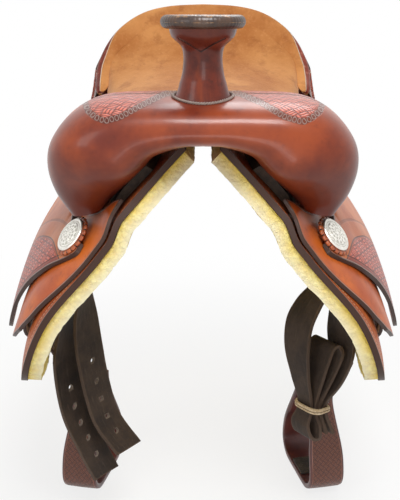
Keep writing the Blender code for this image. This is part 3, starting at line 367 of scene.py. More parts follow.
# Materials: a number or colour in a shader, with the usual operators
class Value:
    def __init__(self, graph, socket):
        self.graph, self.socket = graph, socket

    def __add__(self, other):
        return self.graph.math("ADD", self, other)

    def __sub__(self, other):
        return self.graph.math("SUBTRACT", self, other)

    def __rsub__(self, other):
        return self.graph.math("SUBTRACT", other, self)

    def __mul__(self, other):
        return self.graph.math("MULTIPLY", self, other)

    def __truediv__(self, other):
        return self.graph.math("DIVIDE", self, other)

    def __rtruediv__(self, other):
        return self.graph.math("DIVIDE", other, self)

    def __pow__(self, other):
        return self.graph.math("POWER", self, other)

    __radd__, __rmul__ = __add__, __mul__


# the nodes of one material
class Graph:
    def __init__(self, name):
        self.material = bpy.data.materials.new(name)
        self.material.use_nodes = True
        self.nodes, self.links = self.material.node_tree.nodes, self.material.node_tree.links
        self.shader = self.nodes["Principled BSDF"]

    # any node: its settings, then its sockets by name or number, as values or links; gives one output
    def node(self, kind, settings=None, inputs=None, output=0):
        made = self.nodes.new("ShaderNode" + kind)
        for key, value in (settings or {}).items():
            setattr(made, key, value)
        for key, value in (inputs or {}).items():
            self.feed(made.inputs[key], value)
        return Value(self, made.outputs[output])

    def feed(self, socket, value):
        if isinstance(value, Value):
            self.links.new(value.socket, socket)
        elif hasattr(value, "__len__") and socket.type == "RGBA":
            socket.default_value = (*value, 1.0) if len(value) == 3 else value
        else:
            socket.default_value = value

    def math(self, operation, *values):
        return self.node("Math", {"operation": operation}, dict(enumerate(values)))

    def sineSize(self, value):
        return self.math("ABSOLUTE", self.math("SINE", value))

    def length(self, x, y):
        return self.math("SQRT", x * x + y * y)

    def mix(self, low, high, amount):  # a colour between two colours
        return self.node("Mix", {"data_type": "RGBA"}, {0: amount, 6: low, 7: high}, 2)

    # goes smoothly from first to last while the value goes from low to high
    def ramp(self, value, low, high, first=0.0, last=1.0):
        span = {"Value": value, "From Min": low, "From Max": high, "To Min": first, "To Max": last}
        return self.node("MapRange", {"interpolation_type": "SMOOTHSTEP"}, span)

    # one colour laid over another where the value is high
    def stain(self, colour, other, value, low, high, most=1.0, least=0.0):
        return self.mix(colour, other, self.ramp(value, low, high, least, most))

    # several of them, one over the other
    def stains(self, colour, *layers):
        for layer in layers:
            colour = self.stain(colour, *layer)
        return colour

    def fall(self, value, low, high):
        return self.ramp(value, low, high, 1.0, 0.0)

    def band(self, value, middle, half, soft):  # one near the middle, nothing outside
        return self.fall(self.math("ABSOLUTE", value - middle), half, half + soft)

    def attribute(self, name):
        return self.node("Attribute", {"attribute_name": name}, output=2)

    def parts(self, vector, count=3):
        return [self.node("SeparateXYZ", {}, {0: vector}, k) for k in range(count)]

    def flat(self):  # the two directions on the opened-out leather, in metres
        return self.parts(self.node("UVMap", {"uv_map": "flat"}), 2)

    def where(self):
        return self.node("TexCoord", output=3)

    def noise(self, scale, detail=3.0, rough=0.55, place=None):
        return self.node("TexNoise", {}, {"Vector": place or self.where(), "Scale": scale, "Detail": detail,
                                          "Roughness": rough})

    def streaks(self, scale, detail, rough, stretch):  # noise drawn out along an axis
        place = self.node("VectorMath", {"operation": "MULTIPLY"}, {0: self.where(), 1: stretch})
        return self.noise(scale, detail, rough, place)

    def folds(self, u, v, detail, rough):  # noise drawn out along the leather
        return self.noise(1.0, detail, rough, self.node("CombineXYZ", {}, {0: u, 1: v, 2: 0.0}))

    def cells(self, scale):
        return self.node("TexVoronoi", {"feature": "F1"}, {"Vector": self.where(), "Scale": scale})

    def fract(self, value):
        return self.math("FRACT", value)

    # joins the shader; height is in units of depth metres, and the fixed sockets are plain values
    def done(self, colour, roughness, height=None, depth=0.001, **fixed):
        self.feed(self.shader.inputs["Base Color"], colour)
        self.feed(self.shader.inputs["Roughness"], roughness)
        for key, value in fixed.items():
            self.feed(self.shader.inputs[key.replace("_", " ")], value)
        if height is not None:
            bump = self.node("Bump", {}, {"Height": height, "Distance": depth, "Strength": 1.0})
            self.feed(self.shader.inputs["Normal"], bump)
        return self.material

    # joins the shader as coated leather
    def finish(self, colour, roughness, height, coat, coatRough, specular=0.5, depth=0.0008):
        return self.done(colour, roughness, height, depth, Coat_Weight=coat, Coat_Roughness=coatRough,
                         Specular_IOR_Level=specular)


# basket-weave stamping: ribbed cells that change direction like a chequer; height from 0 to 1
def basketStamp(g, u, v, pitch):
    cu, cv = u / pitch, v / pitch
    fu, fv = g.fract(cu), g.fract(cv)
    parity = g.math("MODULO", g.math("ABSOLUTE", g.math("FLOOR", cu) + g.math("FLOOR", cv)), 2.0)

    def bars(across, along):
        return (g.sineSize(across * (math.pi * 3)) ** 0.6) * (g.math("SINE", along * math.pi) ** 0.45)

    first, second = bars(fv, fu), bars(fu, fv)
    return first + (second - first) * parity


# a seam broken into stitches: one on the thread, nothing between
def stitches(g, seam, run, pitch):
    return seam * g.fall(g.math("ABSOLUTE", g.fract(run / pitch) - 0.5), 0.3, 0.38)


# vegetable-tanned leather: mottled colour, grain, burnished edges, with stamping and stitches if asked
def leatherMaterial(name, look):
    g = Graph(name)
    fine = g.noise(95.0, 4.0, 0.6)
    colour = g.stain(look["dark"], look["light"], g.noise(look.get("broad", 14.0), 4.0, 0.6), 0.3, 0.7)
    colour = g.stain(colour, look["deep"], fine, 0.52, 0.8, look.get("mottle", 0.35))
    depth = look.get("grainDepth", 0.05)
    height = g.cells(look.get("grain", 900.0)) * depth + g.noise(420.0, 2.0) * depth * 1.5
    rough = look["rough"] + g.noise(40.0) * look.get("roughVary", 0.12)
    rim, face = g.attribute("rim"), g.attribute("face")
    if "stamp" in look:
        s = look["stamp"]
        u, v = g.flat()
        turn = math.radians(s.get("turn", 0.0))
        ru, rv = u * math.cos(turn) + v * math.sin(turn), v * math.cos(turn) - u * math.sin(turn)
        wave = basketStamp(g, ru + 10.0, rv + 10.0, s["pitch"])
        masked = "mask" in s
        amount = g.attribute(s["mask"]) if masked else g.ramp(rim, s["inset"], s["inset"] + 0.001) * face
        colour = g.mix(colour, g.mix(look["deep"], s["light"], wave), amount * s["tint"])
        height = height + wave * amount * s["depth"]
        if not masked:
            line = g.band(rim, s["inset"] - 0.0012, 0.0003, 0.0004) * face
            colour = g.mix(colour, look["deep"], line * 0.8)
            height = height - line * 0.5
    if "edge" in look:
        e = look["edge"]
        width, ragged = e["width"], rim + (fine - 0.5) * 0.0006
        colour = g.stain(colour, look["deep"], ragged, width, width * 3.5, 0.0, 0.55)
        colour = g.mix(colour, e["line"], g.band(ragged, width + 0.0005, 0.0002, 0.0005) * 0.6)
        colour = g.stain(e["colour"], colour, ragged, width - 0.0004, width)
        height = height + g.band(ragged, width + 0.0002, 0.0003, 0.0005) * -0.35
        if "under" in e:
            colour = g.mix(colour, e["under"], (1.0 - face) * g.ramp(ragged, 0.001, 0.0025))
    if "stitch" in look:
        t = look["stitch"]
        groove = g.band(rim, t["inset"], 0.0009, 0.0005)
        dash = stitches(g, g.band(rim, t["inset"], 0.0004, 0.0004), g.attribute("run"), t["pitch"])
        colour = g.mix(g.mix(colour, look["deep"], groove * 0.6), t["colour"], dash)
        height = height - groove * 0.5 + dash * 0.6
    return g, colour, rough, height


def leather(name, look):
    g, colour, rough, height = leatherMaterial(name, look)
    return g.finish(colour, rough, height, look.get("coat", 0.25), look.get("coatRough", 0.22), 0.3)


# Colours
chestnut = {"light": (0.31, 0.054, 0.012), "dark": (0.14, 0.018, 0.007), "deep": (0.035, 0.006, 0.005)}
russet = {"light": (0.64, 0.145, 0.016), "dark": (0.42, 0.07, 0.009), "deep": (0.11, 0.017, 0.006)}
redTooled = {"light": (0.32, 0.052, 0.022), "dark": (0.18, 0.024, 0.012), "deep": (0.045, 0.008, 0.006)}
purpleEdge = (0.044, 0.016, 0.008)
paleLine = (0.5, 0.36, 0.3)
# painted highlight: the pale grey laid on the swell's stamped crescents
crescentHighlightGrey = (0.3, 0.2, 0.17)
burnished = {"width": 0.0014, "colour": purpleEdge, "line": paleLine}


# Swell: an arch between the gullet line and the outer line, with a rounded section
def gulletLine():
    rest = swellSize["barTip"] + gauge["skirt"] + gauge["lay"] + 0.0003
    line = [(0.0, 0.0, 0.002), (0.021, 0.0, 0.0005)]
    for drop in (0.024, 0.042, 0.06, 0.078, 0.095, swellSize["endDrop"]):
        place = sidePoint(drop, 0.03, rest)
        line.append((place.x, 0.0, place.z))
    return line


def outerLine():
    shape = [(0.055 / swellSize["half"], 0.0), (0.63, 0.003), (0.83, 0.019), (0.965, 0.047), (1.0, 0.076),
             (0.96, 0.106), (0.87, 0.131)]
    return [(0.0, 0.0, swellSize["height"])] + [(share * swellSize["half"], 0.0, swellSize["height"] - down)
                                                for share, down in shape]


swellLines = (gulletLine(), outerLine())


# section of the swell at t, from -1 at the right end to 1 at the left end
def swellRing(t, inset, points):
    away, sign = abs(t), (1 if t >= 0 else -1)
    inner, outer = through(swellLines[0], away), through(swellLines[1], away)
    span = (outer - inner).length
    end = ease((away - swellSize["endFrom"]) / (1.0 - swellSize["endFrom"]))
    front, rear = mix(swellSize["frontY"], swellSize["endFrontY"], end), swellSize["rearY"]
    half = (rear - front) / 2 - inset
    ring = []
    for turn in angles(points):
        along, across = boxed(turn, swellSize["corner"])
        rise = 0.5 + across * (0.5 - inset / span)
        lean = swellSize["lean"] * (rise - 0.5) * (1.0 - end)
        place = inner.lerp(outer, rise)
        ring.append(Vector((sign * place.x, (front + rear) / 2 - along * half + lean, place.z)))
    return ring


# the border and the fields' ends are in pixels of the photograph, the slit in metres
swellPlan = {"rings": 141, "points": 120, "crescent": 0.0056,
             "border": ((84, 100), (88, 111), (95, 117), (105, 121), (120, 117), (140, 106), (160, 96), (175, 90),
                        (185, 97), (200, 102), (212, 101), (224, 97), (236, 92), (262, 103), (285, 117), (303, 122),
                        (312, 118), (320, 111), (324, 100)),
             "slit": ((0.139, 0.024, 0.0318), (0.143, 0.029, 0.0284), (0.1505, 0.037, 0.0205),
                      (0.154, 0.049, 0.013)),
             "fieldEnds": (84, 176, 235, 325)}
swellLook = dict(chestnut, rough=0.34, roughVary=0.1, grain=1100.0, grainDepth=0.03, mottle=0.3,
                 stamp={"pitch": 0.0108, "depth": 1.3, "tint": 0.92, "light": (0.76, 0.21, 0.15), "mask": "field",
                        "turn": 38.0})


def makeSwell():
    count, points = swellPlan["rings"], swellPlan["points"]
    top = points // 4
    outer, inner, flat, u = [], [], [], 0.0
    for t in steps(count):
        ring = swellRing(2 * t - 1, 0.0, points)
        u += (ring[top] - outer[-1][top]).length if outer else 0.0
        v, here = 0.0, [0.0] * points
        for k in range(1, points):
            i = (top - k) % points
            v += (ring[i] - ring[(i + 1) % points]).length
            here[i] = v
        outer.append(ring)
        inner.append(swellRing(2 * t - 1, gauge["cover"], points))
        flat += [(u, w) for w in here]
    places = np.array([tuple(p) for p in joined(outer)])
    pixels, far = toPicture(places)
    border = np.array(swellPlan["border"], float)
    gap, along = lineDistance(pixels, border)
    scale = far / view["focal"]
    across = pixels[:, 0]
    a, b, c, d = swellPlan["fieldEnds"]
    inside = ((across > a) & (across < b)) | ((across > c) & (across < d))
    upper = np.tile(np.arange(points) * 360.0 / points, count) < 175.0
    inside &= (pixels[:, 1] < np.interp(across, border[:, 0], border[:, 1])) & upper
    field = np.where(upper, np.where(inside, gap * scale, -gap * scale), -0.05)
    ends = [places[np.argmin(np.linalg.norm(places - spot, axis=1))] for spot in swellPlan["slit"]]
    spots = np.array([through(ends, t) for t in steps(13)])
    slit = np.minimum(lineDistance(places, spots)[0], lineDistance(places, spots * (-1, 1, 1))[0])
    values = {"field": np.clip((field - 0.0028) / 0.0006, 0.0, 1.0), "border": np.abs(field),
              "run": along * scale.mean(), "slit": slit}
    piece = tubeMesh("swellCover", outer, inner, flat, values)

    # the stamped crescents that border the field, pale grey as painted highlight; the slit where the seat's ear is
    # let in, near black inside as painted shade and orange on its lip as painted highlight; and painted shade that
    # darkens the swell towards its bottom
    g, colour, rough, height = leatherMaterial("swellLeather", swellLook)
    pitch, border, slit = swellPlan["crescent"], g.attribute("border"), g.attribute("slit")
    beat, off = g.fract(g.attribute("run") / pitch) - 0.5, border / pitch
    near = g.fall(border, pitch * 0.52, pitch * 0.62)
    crescent = g.band(g.math("SQRT", beat * beat + (off - 0.12) * (off - 0.12)), 0.34, 0.05, 0.07) * near
    # the stamped crescents take a pale grey, which is painted highlight
    colour = g.mix(g.mix(colour, chestnut["deep"], near * 0.55), crescentHighlightGrey, crescent * 0.85)
    # painted shade: the swell's colour darkens towards its bottom
    colour = g.stain(colour, (0.085, 0.01, 0.004), g.parts(g.where())[2], -0.085, 0.02, 0.0, 0.85)
    # inside the slit: painted shade, near black; along its lip: painted highlight, orange, over a slight raise
    cut, slitLipAndHighlight = g.fall(slit, 0.0009, 0.0015), g.band(slit, 0.0025, 0.0007, 0.0006)
    colour = g.mix(g.mix(colour, (0.7, 0.2, 0.03), slitLipAndHighlight), chestnut["deep"], cut)
    height = height - near * 0.35 + crescent * 0.55 - cut * 1.2 + slitLipAndHighlight * 0.3
    shine = g.finish(colour, rough, height, 0.28, 0.17, 0.28)
    return dress(piece, shine, ["swell_cover"])


swell = makeSwell()
swellTree = BVHTree.FromObject(swell, bpy.context.evaluated_depsgraph_get())
print("swell")


# Horn: wrapped neck with a lapped V, cap with a bound rim, rope border round the foot
capLook = {"light": (0.3, 0.115, 0.03), "dark": (0.085, 0.028, 0.01), "deep": (0.02, 0.008, 0.005),
           "rough": 0.42, "broad": 46.0, "mottle": 0.7, "grain": 700.0, "grainDepth": 0.12}
bindingLook = {"light": (0.075, 0.034, 0.016), "dark": (0.026, 0.011, 0.007), "deep": (0.01, 0.005, 0.004),
               "rough": 0.34, "broad": 70.0, "grain": 800.0, "grainDepth": 0.1, "pucker": 0.00022, "puckers": 60}
wrapLook = {"light": (0.19, 0.027, 0.009), "dark": (0.075, 0.01, 0.005), "deep": (0.016, 0.004, 0.003),
            "rough": 0.24, "broad": 30.0, "mottle": 0.6, "grain": 900.0, "grainDepth": 0.05, "roughVary": 0.2,
            "lap": ((178, 38), (190, 45), (201, 52), (212, 45), (226, 38)),  # pixels of the photograph
            "lapInside": ((178, 201, 226), (38, 52, 38)), "bore": 0.0128, "settle": 0.16}
ropeSize = {"turns": 34, "strand": 0.00085, "out": 0.0012, "lift": 0.0013, "count": 420}
hornTilt = math.radians(hornSize["tilt"])
hornCap = Matrix.Translation((0.0, hornSize["y"] - 0.012, hornSize["capZ"])) @ Matrix.Rotation(hornTilt, 4, "X")


def swellTop(x, y):
    hit = swellTree.ray_cast(Vector((x, y, 0.2)), -up)[0]
    return hit.z if hit else swellSize["height"]


def makeHornCap():
    r, h, tube = hornSize["capRadius"], hornSize["capThick"], hornSize["binding"]
    top = [(0.0, h), (r * 0.3, h), (r * 0.6, h - 0.0003), (r * 0.85, h - 0.001), (r * 0.95, h - 0.0026),
           (r, h - 0.0044), (r, 0.003), (r * 0.9, 0.0), (0.0, -0.0002)]
    g, colour, rough, height = leatherMaterial("hornCapLeather", capLook)
    worn = g.finish(colour, rough, height, 0.2, 0.3)
    dress(turnedPiece("hornCap", top, hornCap), worn, ["horn_cap"])

    # the bound rim, pulled into shallow puckers by its stitching
    rings, flat = [], []
    for turn in angles(180):
        pucker, ring = bindingLook["pucker"] * math.cos(turn * bindingLook["puckers"]), []
        for roll in angles(20):
            grown = tube + (pucker if math.cos(roll) > -0.2 else 0.0)
            away = r + tube + 0.0003 + grown * math.cos(roll)
            ring.append(hornCap @ polar(away, turn, h * 0.5 + grown * math.sin(roll)))
            flat.append((turn * (r + tube), roll * tube))
        rings.append(ring)
    g, colour, rough, height = leatherMaterial("bindingLeather", bindingLook)
    u, v = g.flat()
    # worn patches, on the roll's upper half only and lighter there: wear, and painted highlight on the top of the
    # binding
    wearAndTopHighlight = g.noise(150.0, 4.0, 0.7) * g.ramp(g.math("SINE", v / tube), -0.1, 0.9)
    colour = g.stain(colour, (0.36, 0.18, 0.065), wearAndTopHighlight, 0.46, 0.62, 0.75)
    dash = stitches(g, g.band(v, tube * 2.35, 0.0004, 0.0003), u, 0.0042)
    bound = g.finish(g.mix(colour, (0.3, 0.24, 0.18), dash), rough, height + dash * 0.5, 0.28, 0.25)
    dress(solidRings("hornBinding", rings, flat, loop=True), bound, ["horn_cap_binding"])


def makeHornWrap():
    knee = Vector((0.0, hornSize["y"], swellSize["height"] + hornSize["straight"]))
    head = hornCap @ Vector((0.0, 0.0, -0.0006))
    n, foot = hornSize["neck"], hornSize["foot"]
    sizes = [foot, foot * 0.8, n * 1.06, n, n * 0.99, n * 1.1, n * 1.55, n * 1.7]
    rings, inner, flat = [], [], []
    for b in steps(56):
        radius, centre = smoothValue(sizes, b), knee.lerp(head, b)
        lean = Matrix.Rotation(hornTilt * ease((b - 0.3) / 0.7), 3, "X")
        ring = []
        for turn in angles(72):
            place = centre + lean @ polar(radius, turn)
            if b < wrapLook["settle"]:
                low = swellTop(place.x, place.y) + 0.0002
                place.z = mix(max(place.z, low), low, 1.0 - ease(b / wrapLook["settle"]))
            ring.append(place)
            flat.append((turn * n, b * 0.065))
        rings.append(ring)
        inner.append([centre + (place - centre) * (wrapLook["bore"] / radius) for place in ring])
    places = np.array([tuple(p) for p in joined(rings)])
    pixels, far = toPicture(places)
    front = places[:, 1] < hornSize["y"] - 0.002
    seam = np.where(front, lineDistance(pixels, wrapLook["lap"])[0] * far / view["focal"], 0.05)
    above = np.where(front & (pixels[:, 1] < np.interp(pixels[:, 0], *wrapLook["lapInside"])), 1.0, 0.0)
    piece = tubeMesh("hornWrap", rings, inner, flat, {"seam": seam, "above": above})
    g, colour, rough, height = leatherMaterial("hornLeather", wrapLook)
    u, v = g.flat()
    fold, above = g.folds(u * 90.0, v * 22.0, 3.0, 0.6), g.attribute("above")
    line = g.fall(g.attribute("seam"), 0.0003, 0.001)
    colour = g.stain(colour, (0.26, 0.045, 0.01), fold, 0.5, 0.75, 0.6)
    colour = g.mix(g.mix(colour, (0.1, 0.02, 0.012), above * 0.5), (0.012, 0.006, 0.006), line)
    height = height + fold * 0.5 - line * 0.8 + above * 0.4
    wrap = g.finish(colour, rough, height, 0.24, 0.14, 0.25)
    dress(piece, wrap, ["horn_wrap"])


# the two directions across a closed path at each of its points
def loopSides(path):
    pairs = []
    for i, ahead in enumerate(path[1:] + path[:1]):
        way = (ahead - path[i - 1]).normalized()
        side = way.cross(up).normalized()
        pairs.append((side, side.cross(way)))
    return pairs


# two-strand lacing laid round the horn's foot, on the swell
def makeHornRope():
    count, strand = ropeSize["count"], ropeSize["strand"]
    radius, base = hornSize["foot"] + ropeSize["out"], []
    for turn in angles(count):
        x, y = radius * math.cos(turn), hornSize["y"] + radius * math.sin(turn)
        base.append(Vector((x, y, swellTop(x, y) + ropeSize["lift"])))
    for number in (0, 1):
        path = []
        for spot, (side, lift), turn in zip(base, loopSides(base), angles(count)):
            roll = ropeSize["turns"] * turn + math.pi * number
            path.append(spot + (side * math.cos(roll) + lift * math.sin(roll)) * strand)
        rings = [[spot + (side * math.cos(k) + lift * math.sin(k)) * strand for k in angles(8)]
                 for spot, (side, lift) in zip(path, loopSides(path))]
        flat = [(i / count, k / 8) for i in range(count) for k in range(8)]
        g = Graph(f"ropeLacing{number + 1}")
        colour = g.mix((0.16, 0.11, 0.09), (0.42, 0.34, 0.3), g.noise(500.0))
        lacing = g.done(colour, 0.5, g.noise(2400.0, 2.0), 0.0003)
        dress(solidRings(f"hornRope{number + 1}", rings, flat, loop=True), lacing)


makeHornCap()
makeHornWrap()
makeHornRope()
print("horn")


# Seat: lengthwise rails of the suede surface, centre first, from the swell back to the cantle's rim
seatPlan = {"grid": 65, "crown": 0.0022, "round": 0.007, "roll": 0.003, "lump": 0.0006, "edgeOut": 0.0068,
            "edgeAt": (0.03, 0.13, 0.23, 0.33, 0.43, 0.55)}
seatRails = [
    [(0.0, 0.096, 0.047), (0.0, 0.16, 0.033), (0.0, 0.24, 0.024), (0.0, 0.32, 0.028),
     (0.0, 0.385, 0.045), (0.0, 0.425, 0.076), (0.0, 0.446, 0.108)],
    [(0.045, 0.096, 0.042), (0.055, 0.16, 0.027), (0.066, 0.24, 0.019), (0.072, 0.32, 0.025),
     (0.076, 0.382, 0.041), (0.079, 0.418, 0.068), (0.08, 0.438, 0.099)],
    [(0.08, 0.096, 0.026), (0.092, 0.16, 0.006), (0.108, 0.24, 0.003), (0.119, 0.32, 0.013),
     (0.124, 0.368, 0.028), (0.127, 0.396, 0.044), (0.125, 0.417, 0.066)],
    [(0.098, 0.096, 0.006), (0.112, 0.16, -0.02), (0.126, 0.24, -0.018), (0.134, 0.31, -0.006),
     (0.138, 0.35, 0.008), (0.14, 0.378, 0.021), (0.138, 0.399, 0.04)],
]


def handed(place, side):
    place.x = math.copysign(place.x, side) if side else 0.0
    return place


def railPoint(rails, a, b):
    return through([through(rail, a) for rail in rails], b)


def seatPoint(s, v):
    return handed(railPoint(seatRails, v, min(abs(s), 1.0)), s)


def seatNormal(s, v):
    e = 0.01
    across = seatPoint(min(s + e, 1.0), v) - seatPoint(max(s - e, -1.0), v)
    along = seatPoint(s, min(v + e, 1.0)) - seatPoint(s, max(v - e, 0.0))
    return across.cross(along).normalized()


# lengths along and down a grid of points, in metres, for the flat pattern
def gridArcs(rows):
    flat, middle, down = [], len(rows[0]) // 2, 0.0
    for r, row in enumerate(rows):
        down += (row[middle] - rows[r - 1][middle]).length if r else 0.0
        arcs = [0.0]
        for a, b in zip(row, row[1:]):
            arcs.append(arcs[-1] + (b - a).length)
        flat.append([(arc - arcs[middle], down) for arc in arcs])
    return flat


# mottled tan-orange suede: its colour and its height
def suedeSurface(g):
    cloud, mottle, nap = g.noise(9.0, 5.0, 0.62), g.noise(38.0, 4.0, 0.65), g.noise(260.0, 3.0, 0.7)
    colour = g.stains((0.4, 0.14, 0.034), ((0.6, 0.27, 0.088), cloud, 0.32, 0.66),
                      ((0.31, 0.1, 0.026), mottle, 0.5, 0.72, 0.55), ((0.66, 0.32, 0.13), nap, 0.5, 0.8, 0.45))
    return colour, nap * 0.5 + g.noise(900.0, 2.0) * 0.4 + mottle * 0.4


# the padded seat: its face swells a little between its edges, and rolls down at them
def makeSeat():
    def spot(a, v):
        s = 2 * a - 1
        place, normal = seatPoint(s, v), seatNormal(s, v)
        reach = min((1 - abs(s)) * 0.13, min(v, 1 - v) * 0.4)
        roll = min(reach / seatPlan["round"], 1.0)
        lift = -seatPlan["roll"] * (1.0 - math.sqrt(max(1.0 - (1.0 - roll) ** 2, 0.0)))
        lift += seatPlan["crown"] * ease(reach / 0.05) * 0.4
        lift += seatPlan["lump"] * noise.noise(place * 22.0) * ease(reach / 0.03)
        return place + normal * lift, place - normal * gauge["pad"]

    over, under = grids(seatPlan["grid"], seatPlan["grid"], spot)
    piece = slab("suedeSeat", over, under, gridArcs(over))
    g = Graph("tanSuede")
    colour, height = suedeSurface(g)
    colour = g.stain(colour, (0.27, 0.09, 0.026), g.attribute("rim"), 0.001, 0.006, 0.0, 0.35)
    suede = g.done(colour, 0.92, height, 0.0008, Sheen_Weight=0.2, Sheen_Roughness=0.5, Specular_IOR_Level=0.2)
    dress(piece, suede, ["padded_seat"])
    return piece


# the rim of the cantle from the right side round the top to the left side, and the foot of its back
cantlePlan = {
    "rim": [(0.0, 0.452, 0.1135), (0.048, 0.45, 0.111), (0.084, 0.443, 0.103), (0.113, 0.43, 0.0865),
            (0.1325, 0.416, 0.0655), (0.1455, 0.397, 0.039), (0.1475, 0.375, 0.019), (0.1455, 0.348, 0.004)],
    "foot": [(0.0, 0.5, 0.024), (0.048, 0.498, 0.016), (0.086, 0.487, 0.0), (0.12, 0.466, -0.016),
             (0.145, 0.438, -0.024), (0.1585, 0.41, -0.024), (0.162, 0.385, -0.018), (0.159, 0.356, -0.01)],
    "roll": [(0.0015, 0.0068), (-0.003, 0.0061), (-0.006, 0.003), (-0.0067, -0.0012), (-0.0052, -0.0045),
             (-0.0015, -0.0064), (0.003, -0.0058), (0.0058, -0.0028)],
    "count": 160, "around": 44, "lapTop": 0.02, "lapSide": 0.011, "crest": 0.0066}
rimLook = {"light": (0.24, 0.04, 0.018), "dark": (0.12, 0.018, 0.01), "deep": (0.04, 0.008, 0.006),
           "rough": 0.34, "broad": 30.0}
backLook = dict(redTooled, rough=0.36, coat=0.35, edge=dict(burnished, width=0.001),
                stamp={"pitch": 0.01, "depth": 0.9, "tint": 0.7, "inset": 0.01, "light": (0.46, 0.11, 0.06),
                       "turn": 20.0},
                stitch={"inset": 0.005, "pitch": 0.005, "colour": (0.55, 0.42, 0.3)})


def cantleRim(t, out=0.0):
    place = handed(through(cantlePlan["rim"], abs(t)), t)
    return place + Vector((place.x, 0.0, place.z + 0.01)).normalized() * out


# the rolled rim, with the seat's suede carried over its front as far as the crest
def makeCantleRim(seat):
    tree = BVHTree.FromObject(seat, bpy.context.evaluated_depsgraph_get())
    count, around = cantlePlan["count"], cantlePlan["around"]
    path = [cantleRim(2 * t - 1, 0.0012) for t in steps(count)]
    rings, flat, crest, run = [], [], [], 0.0
    for i, (place, way) in enumerate(zip(path, directions(path))):
        way.normalize()
        run += (place - path[i - 1]).length if i else 0.0
        low = ease((abs(2 * i / (count - 1) - 1) - 0.45) / 0.25)
        near = tree.find_nearest(place + Vector((0.0, -0.003, 0.002)))[0]
        inner = place + (near - place).normalized() * mix(cantlePlan["lapTop"], cantlePlan["lapSide"], low)
        found, normal = tree.find_nearest(inner + Vector((0.0, -0.004, 0.003)))[:2]
        reach = found - place
        inward = (reach - way * reach.dot(way)).normalized()
        face = way.cross(inward)
        face *= 1.0 if face.dot(normal) > 0 else -1.0
        p, q = reach.dot(inward), reach.dot(face)
        section = [(p, q + 0.0002)] + [(share * p, mix(cantlePlan["crest"], q, blend) + rise)
                                       for share, blend, rise in ((0.72, 0.66, 0.0006), (0.42, 0.26, 0.0003))]
        section += cantlePlan["roll"]
        section += [(share * p, q - under) for share, under in ((0.45, 0.0034), (0.8, 0.0024), (0.98, 0.0012))]
        thin = math.sqrt(1.0 - (1.0 - min((min(i, count - 1 - i) + 0.6) / 5.0, 1.0)) ** 2)
        ring, arc, last = [], 0.0, None
        for t in steps(around):
            spot = through([(x, z, 0.0) for x, z in section], t)
            arc += (spot - last).length if last is not None else 0.0
            last = spot
            ring.append(place + (inward * spot.x + face * spot.y) * thin)
            flat.append((run, arc))
            crest.append((spot.x + 0.0062 - 0.0085 * low) * (1.0 if spot.y > 0.0022 or spot.x > 0.007 else -1.0))
        rings.append(ring)
    piece = solidRings("cantleBinding", rings, flat, {"crest": np.array(crest)})
    g, colour, rough, height = leatherMaterial("cantleBindingLeather", rimLook)
    colour = g.stain(colour, (0.6, 0.3, 0.22), g.noise(120.0, 4.0, 0.7), 0.52, 0.7, 0.5)
    suede, nap = suedeSurface(g)
    side = g.attribute("crest")
    front, line = g.ramp(side, 0.0003, 0.0006), g.band(side, 0.0008, 0.0004, 0.0004)
    colour = g.mix(g.mix(colour, suede, front), (0.66, 0.52, 0.4), line * 0.9)
    height = height + (nap - height) * front + line * 0.5
    shine = g.done(colour, rough + front * 0.5, height, 0.0008, Specular_IOR_Level=0.3)
    dress(piece, shine, ["cantle_binding"])


def makeCantleBack():
    def spot(a, b):
        t = 2 * a - 1
        top = cantleRim(t)
        top += Vector((top.x * 0.05, 0.0073, -0.0016))
        place = top.lerp(handed(through(cantlePlan["foot"], abs(t)), t), b)
        place.y -= 4 * b * (1 - b) * 0.006
        return [place]

    under = grids(30, 121, spot)[0]
    over = [[place + normal * gauge["cover"] * (-1.0 if normal.y < 0 else 1.0) for place, normal in zip(*pair)]
            for pair in zip(under, gridNormals(under))]
    piece = roundEdges(slab("cantleBack", over, under, gridArcs(over)), 0.001)
    dress(piece, leather("cantleBackLeather", backLook), ["cantle_back"])


makeCantleRim(makeSeat())
makeCantleBack()
print("seat and cantle")


# Layers on the horse's side, as rails of (y, drop, depth) from front to rear, top rail first
def sideLayer(name, sign, rails, thickness, columns, rows):
    def spot(a, b):
        y, drop, depth = railPoint(rails, a, b)
        return sidePoint(drop, y, depth + thickness, sign), sidePoint(drop, y, depth, sign), (y, drop)

    return slab(name, *grids(rows, columns, spot))


# how far the skirt's front and rear ends are set in at each share of its drop
skirtEnds = [(0.03, 0.035, 0.0), (0.002, 0.01, 0.22), (-0.002, 0.0, 0.45), (0.0, 0.002, 0.68), (0.01, 0.014, 0.86),
             (0.034, 0.04, 0.96), (0.078, 0.086, 1.0)]


def skirtRails(depth, inset):
    size, rails = skirtSize, []
    for front, rear, share in skirtEnds:
        drop = min(max(share * size["drop"], inset), size["drop"] - inset)
        ends = (size["frontY"] + front + inset, size["frontY"] + size["length"] - rear - inset)
        rails.append([(mix(*ends, t), drop, depth) for t in (0.0, 0.33, 0.67, 1.0)])
    return rails


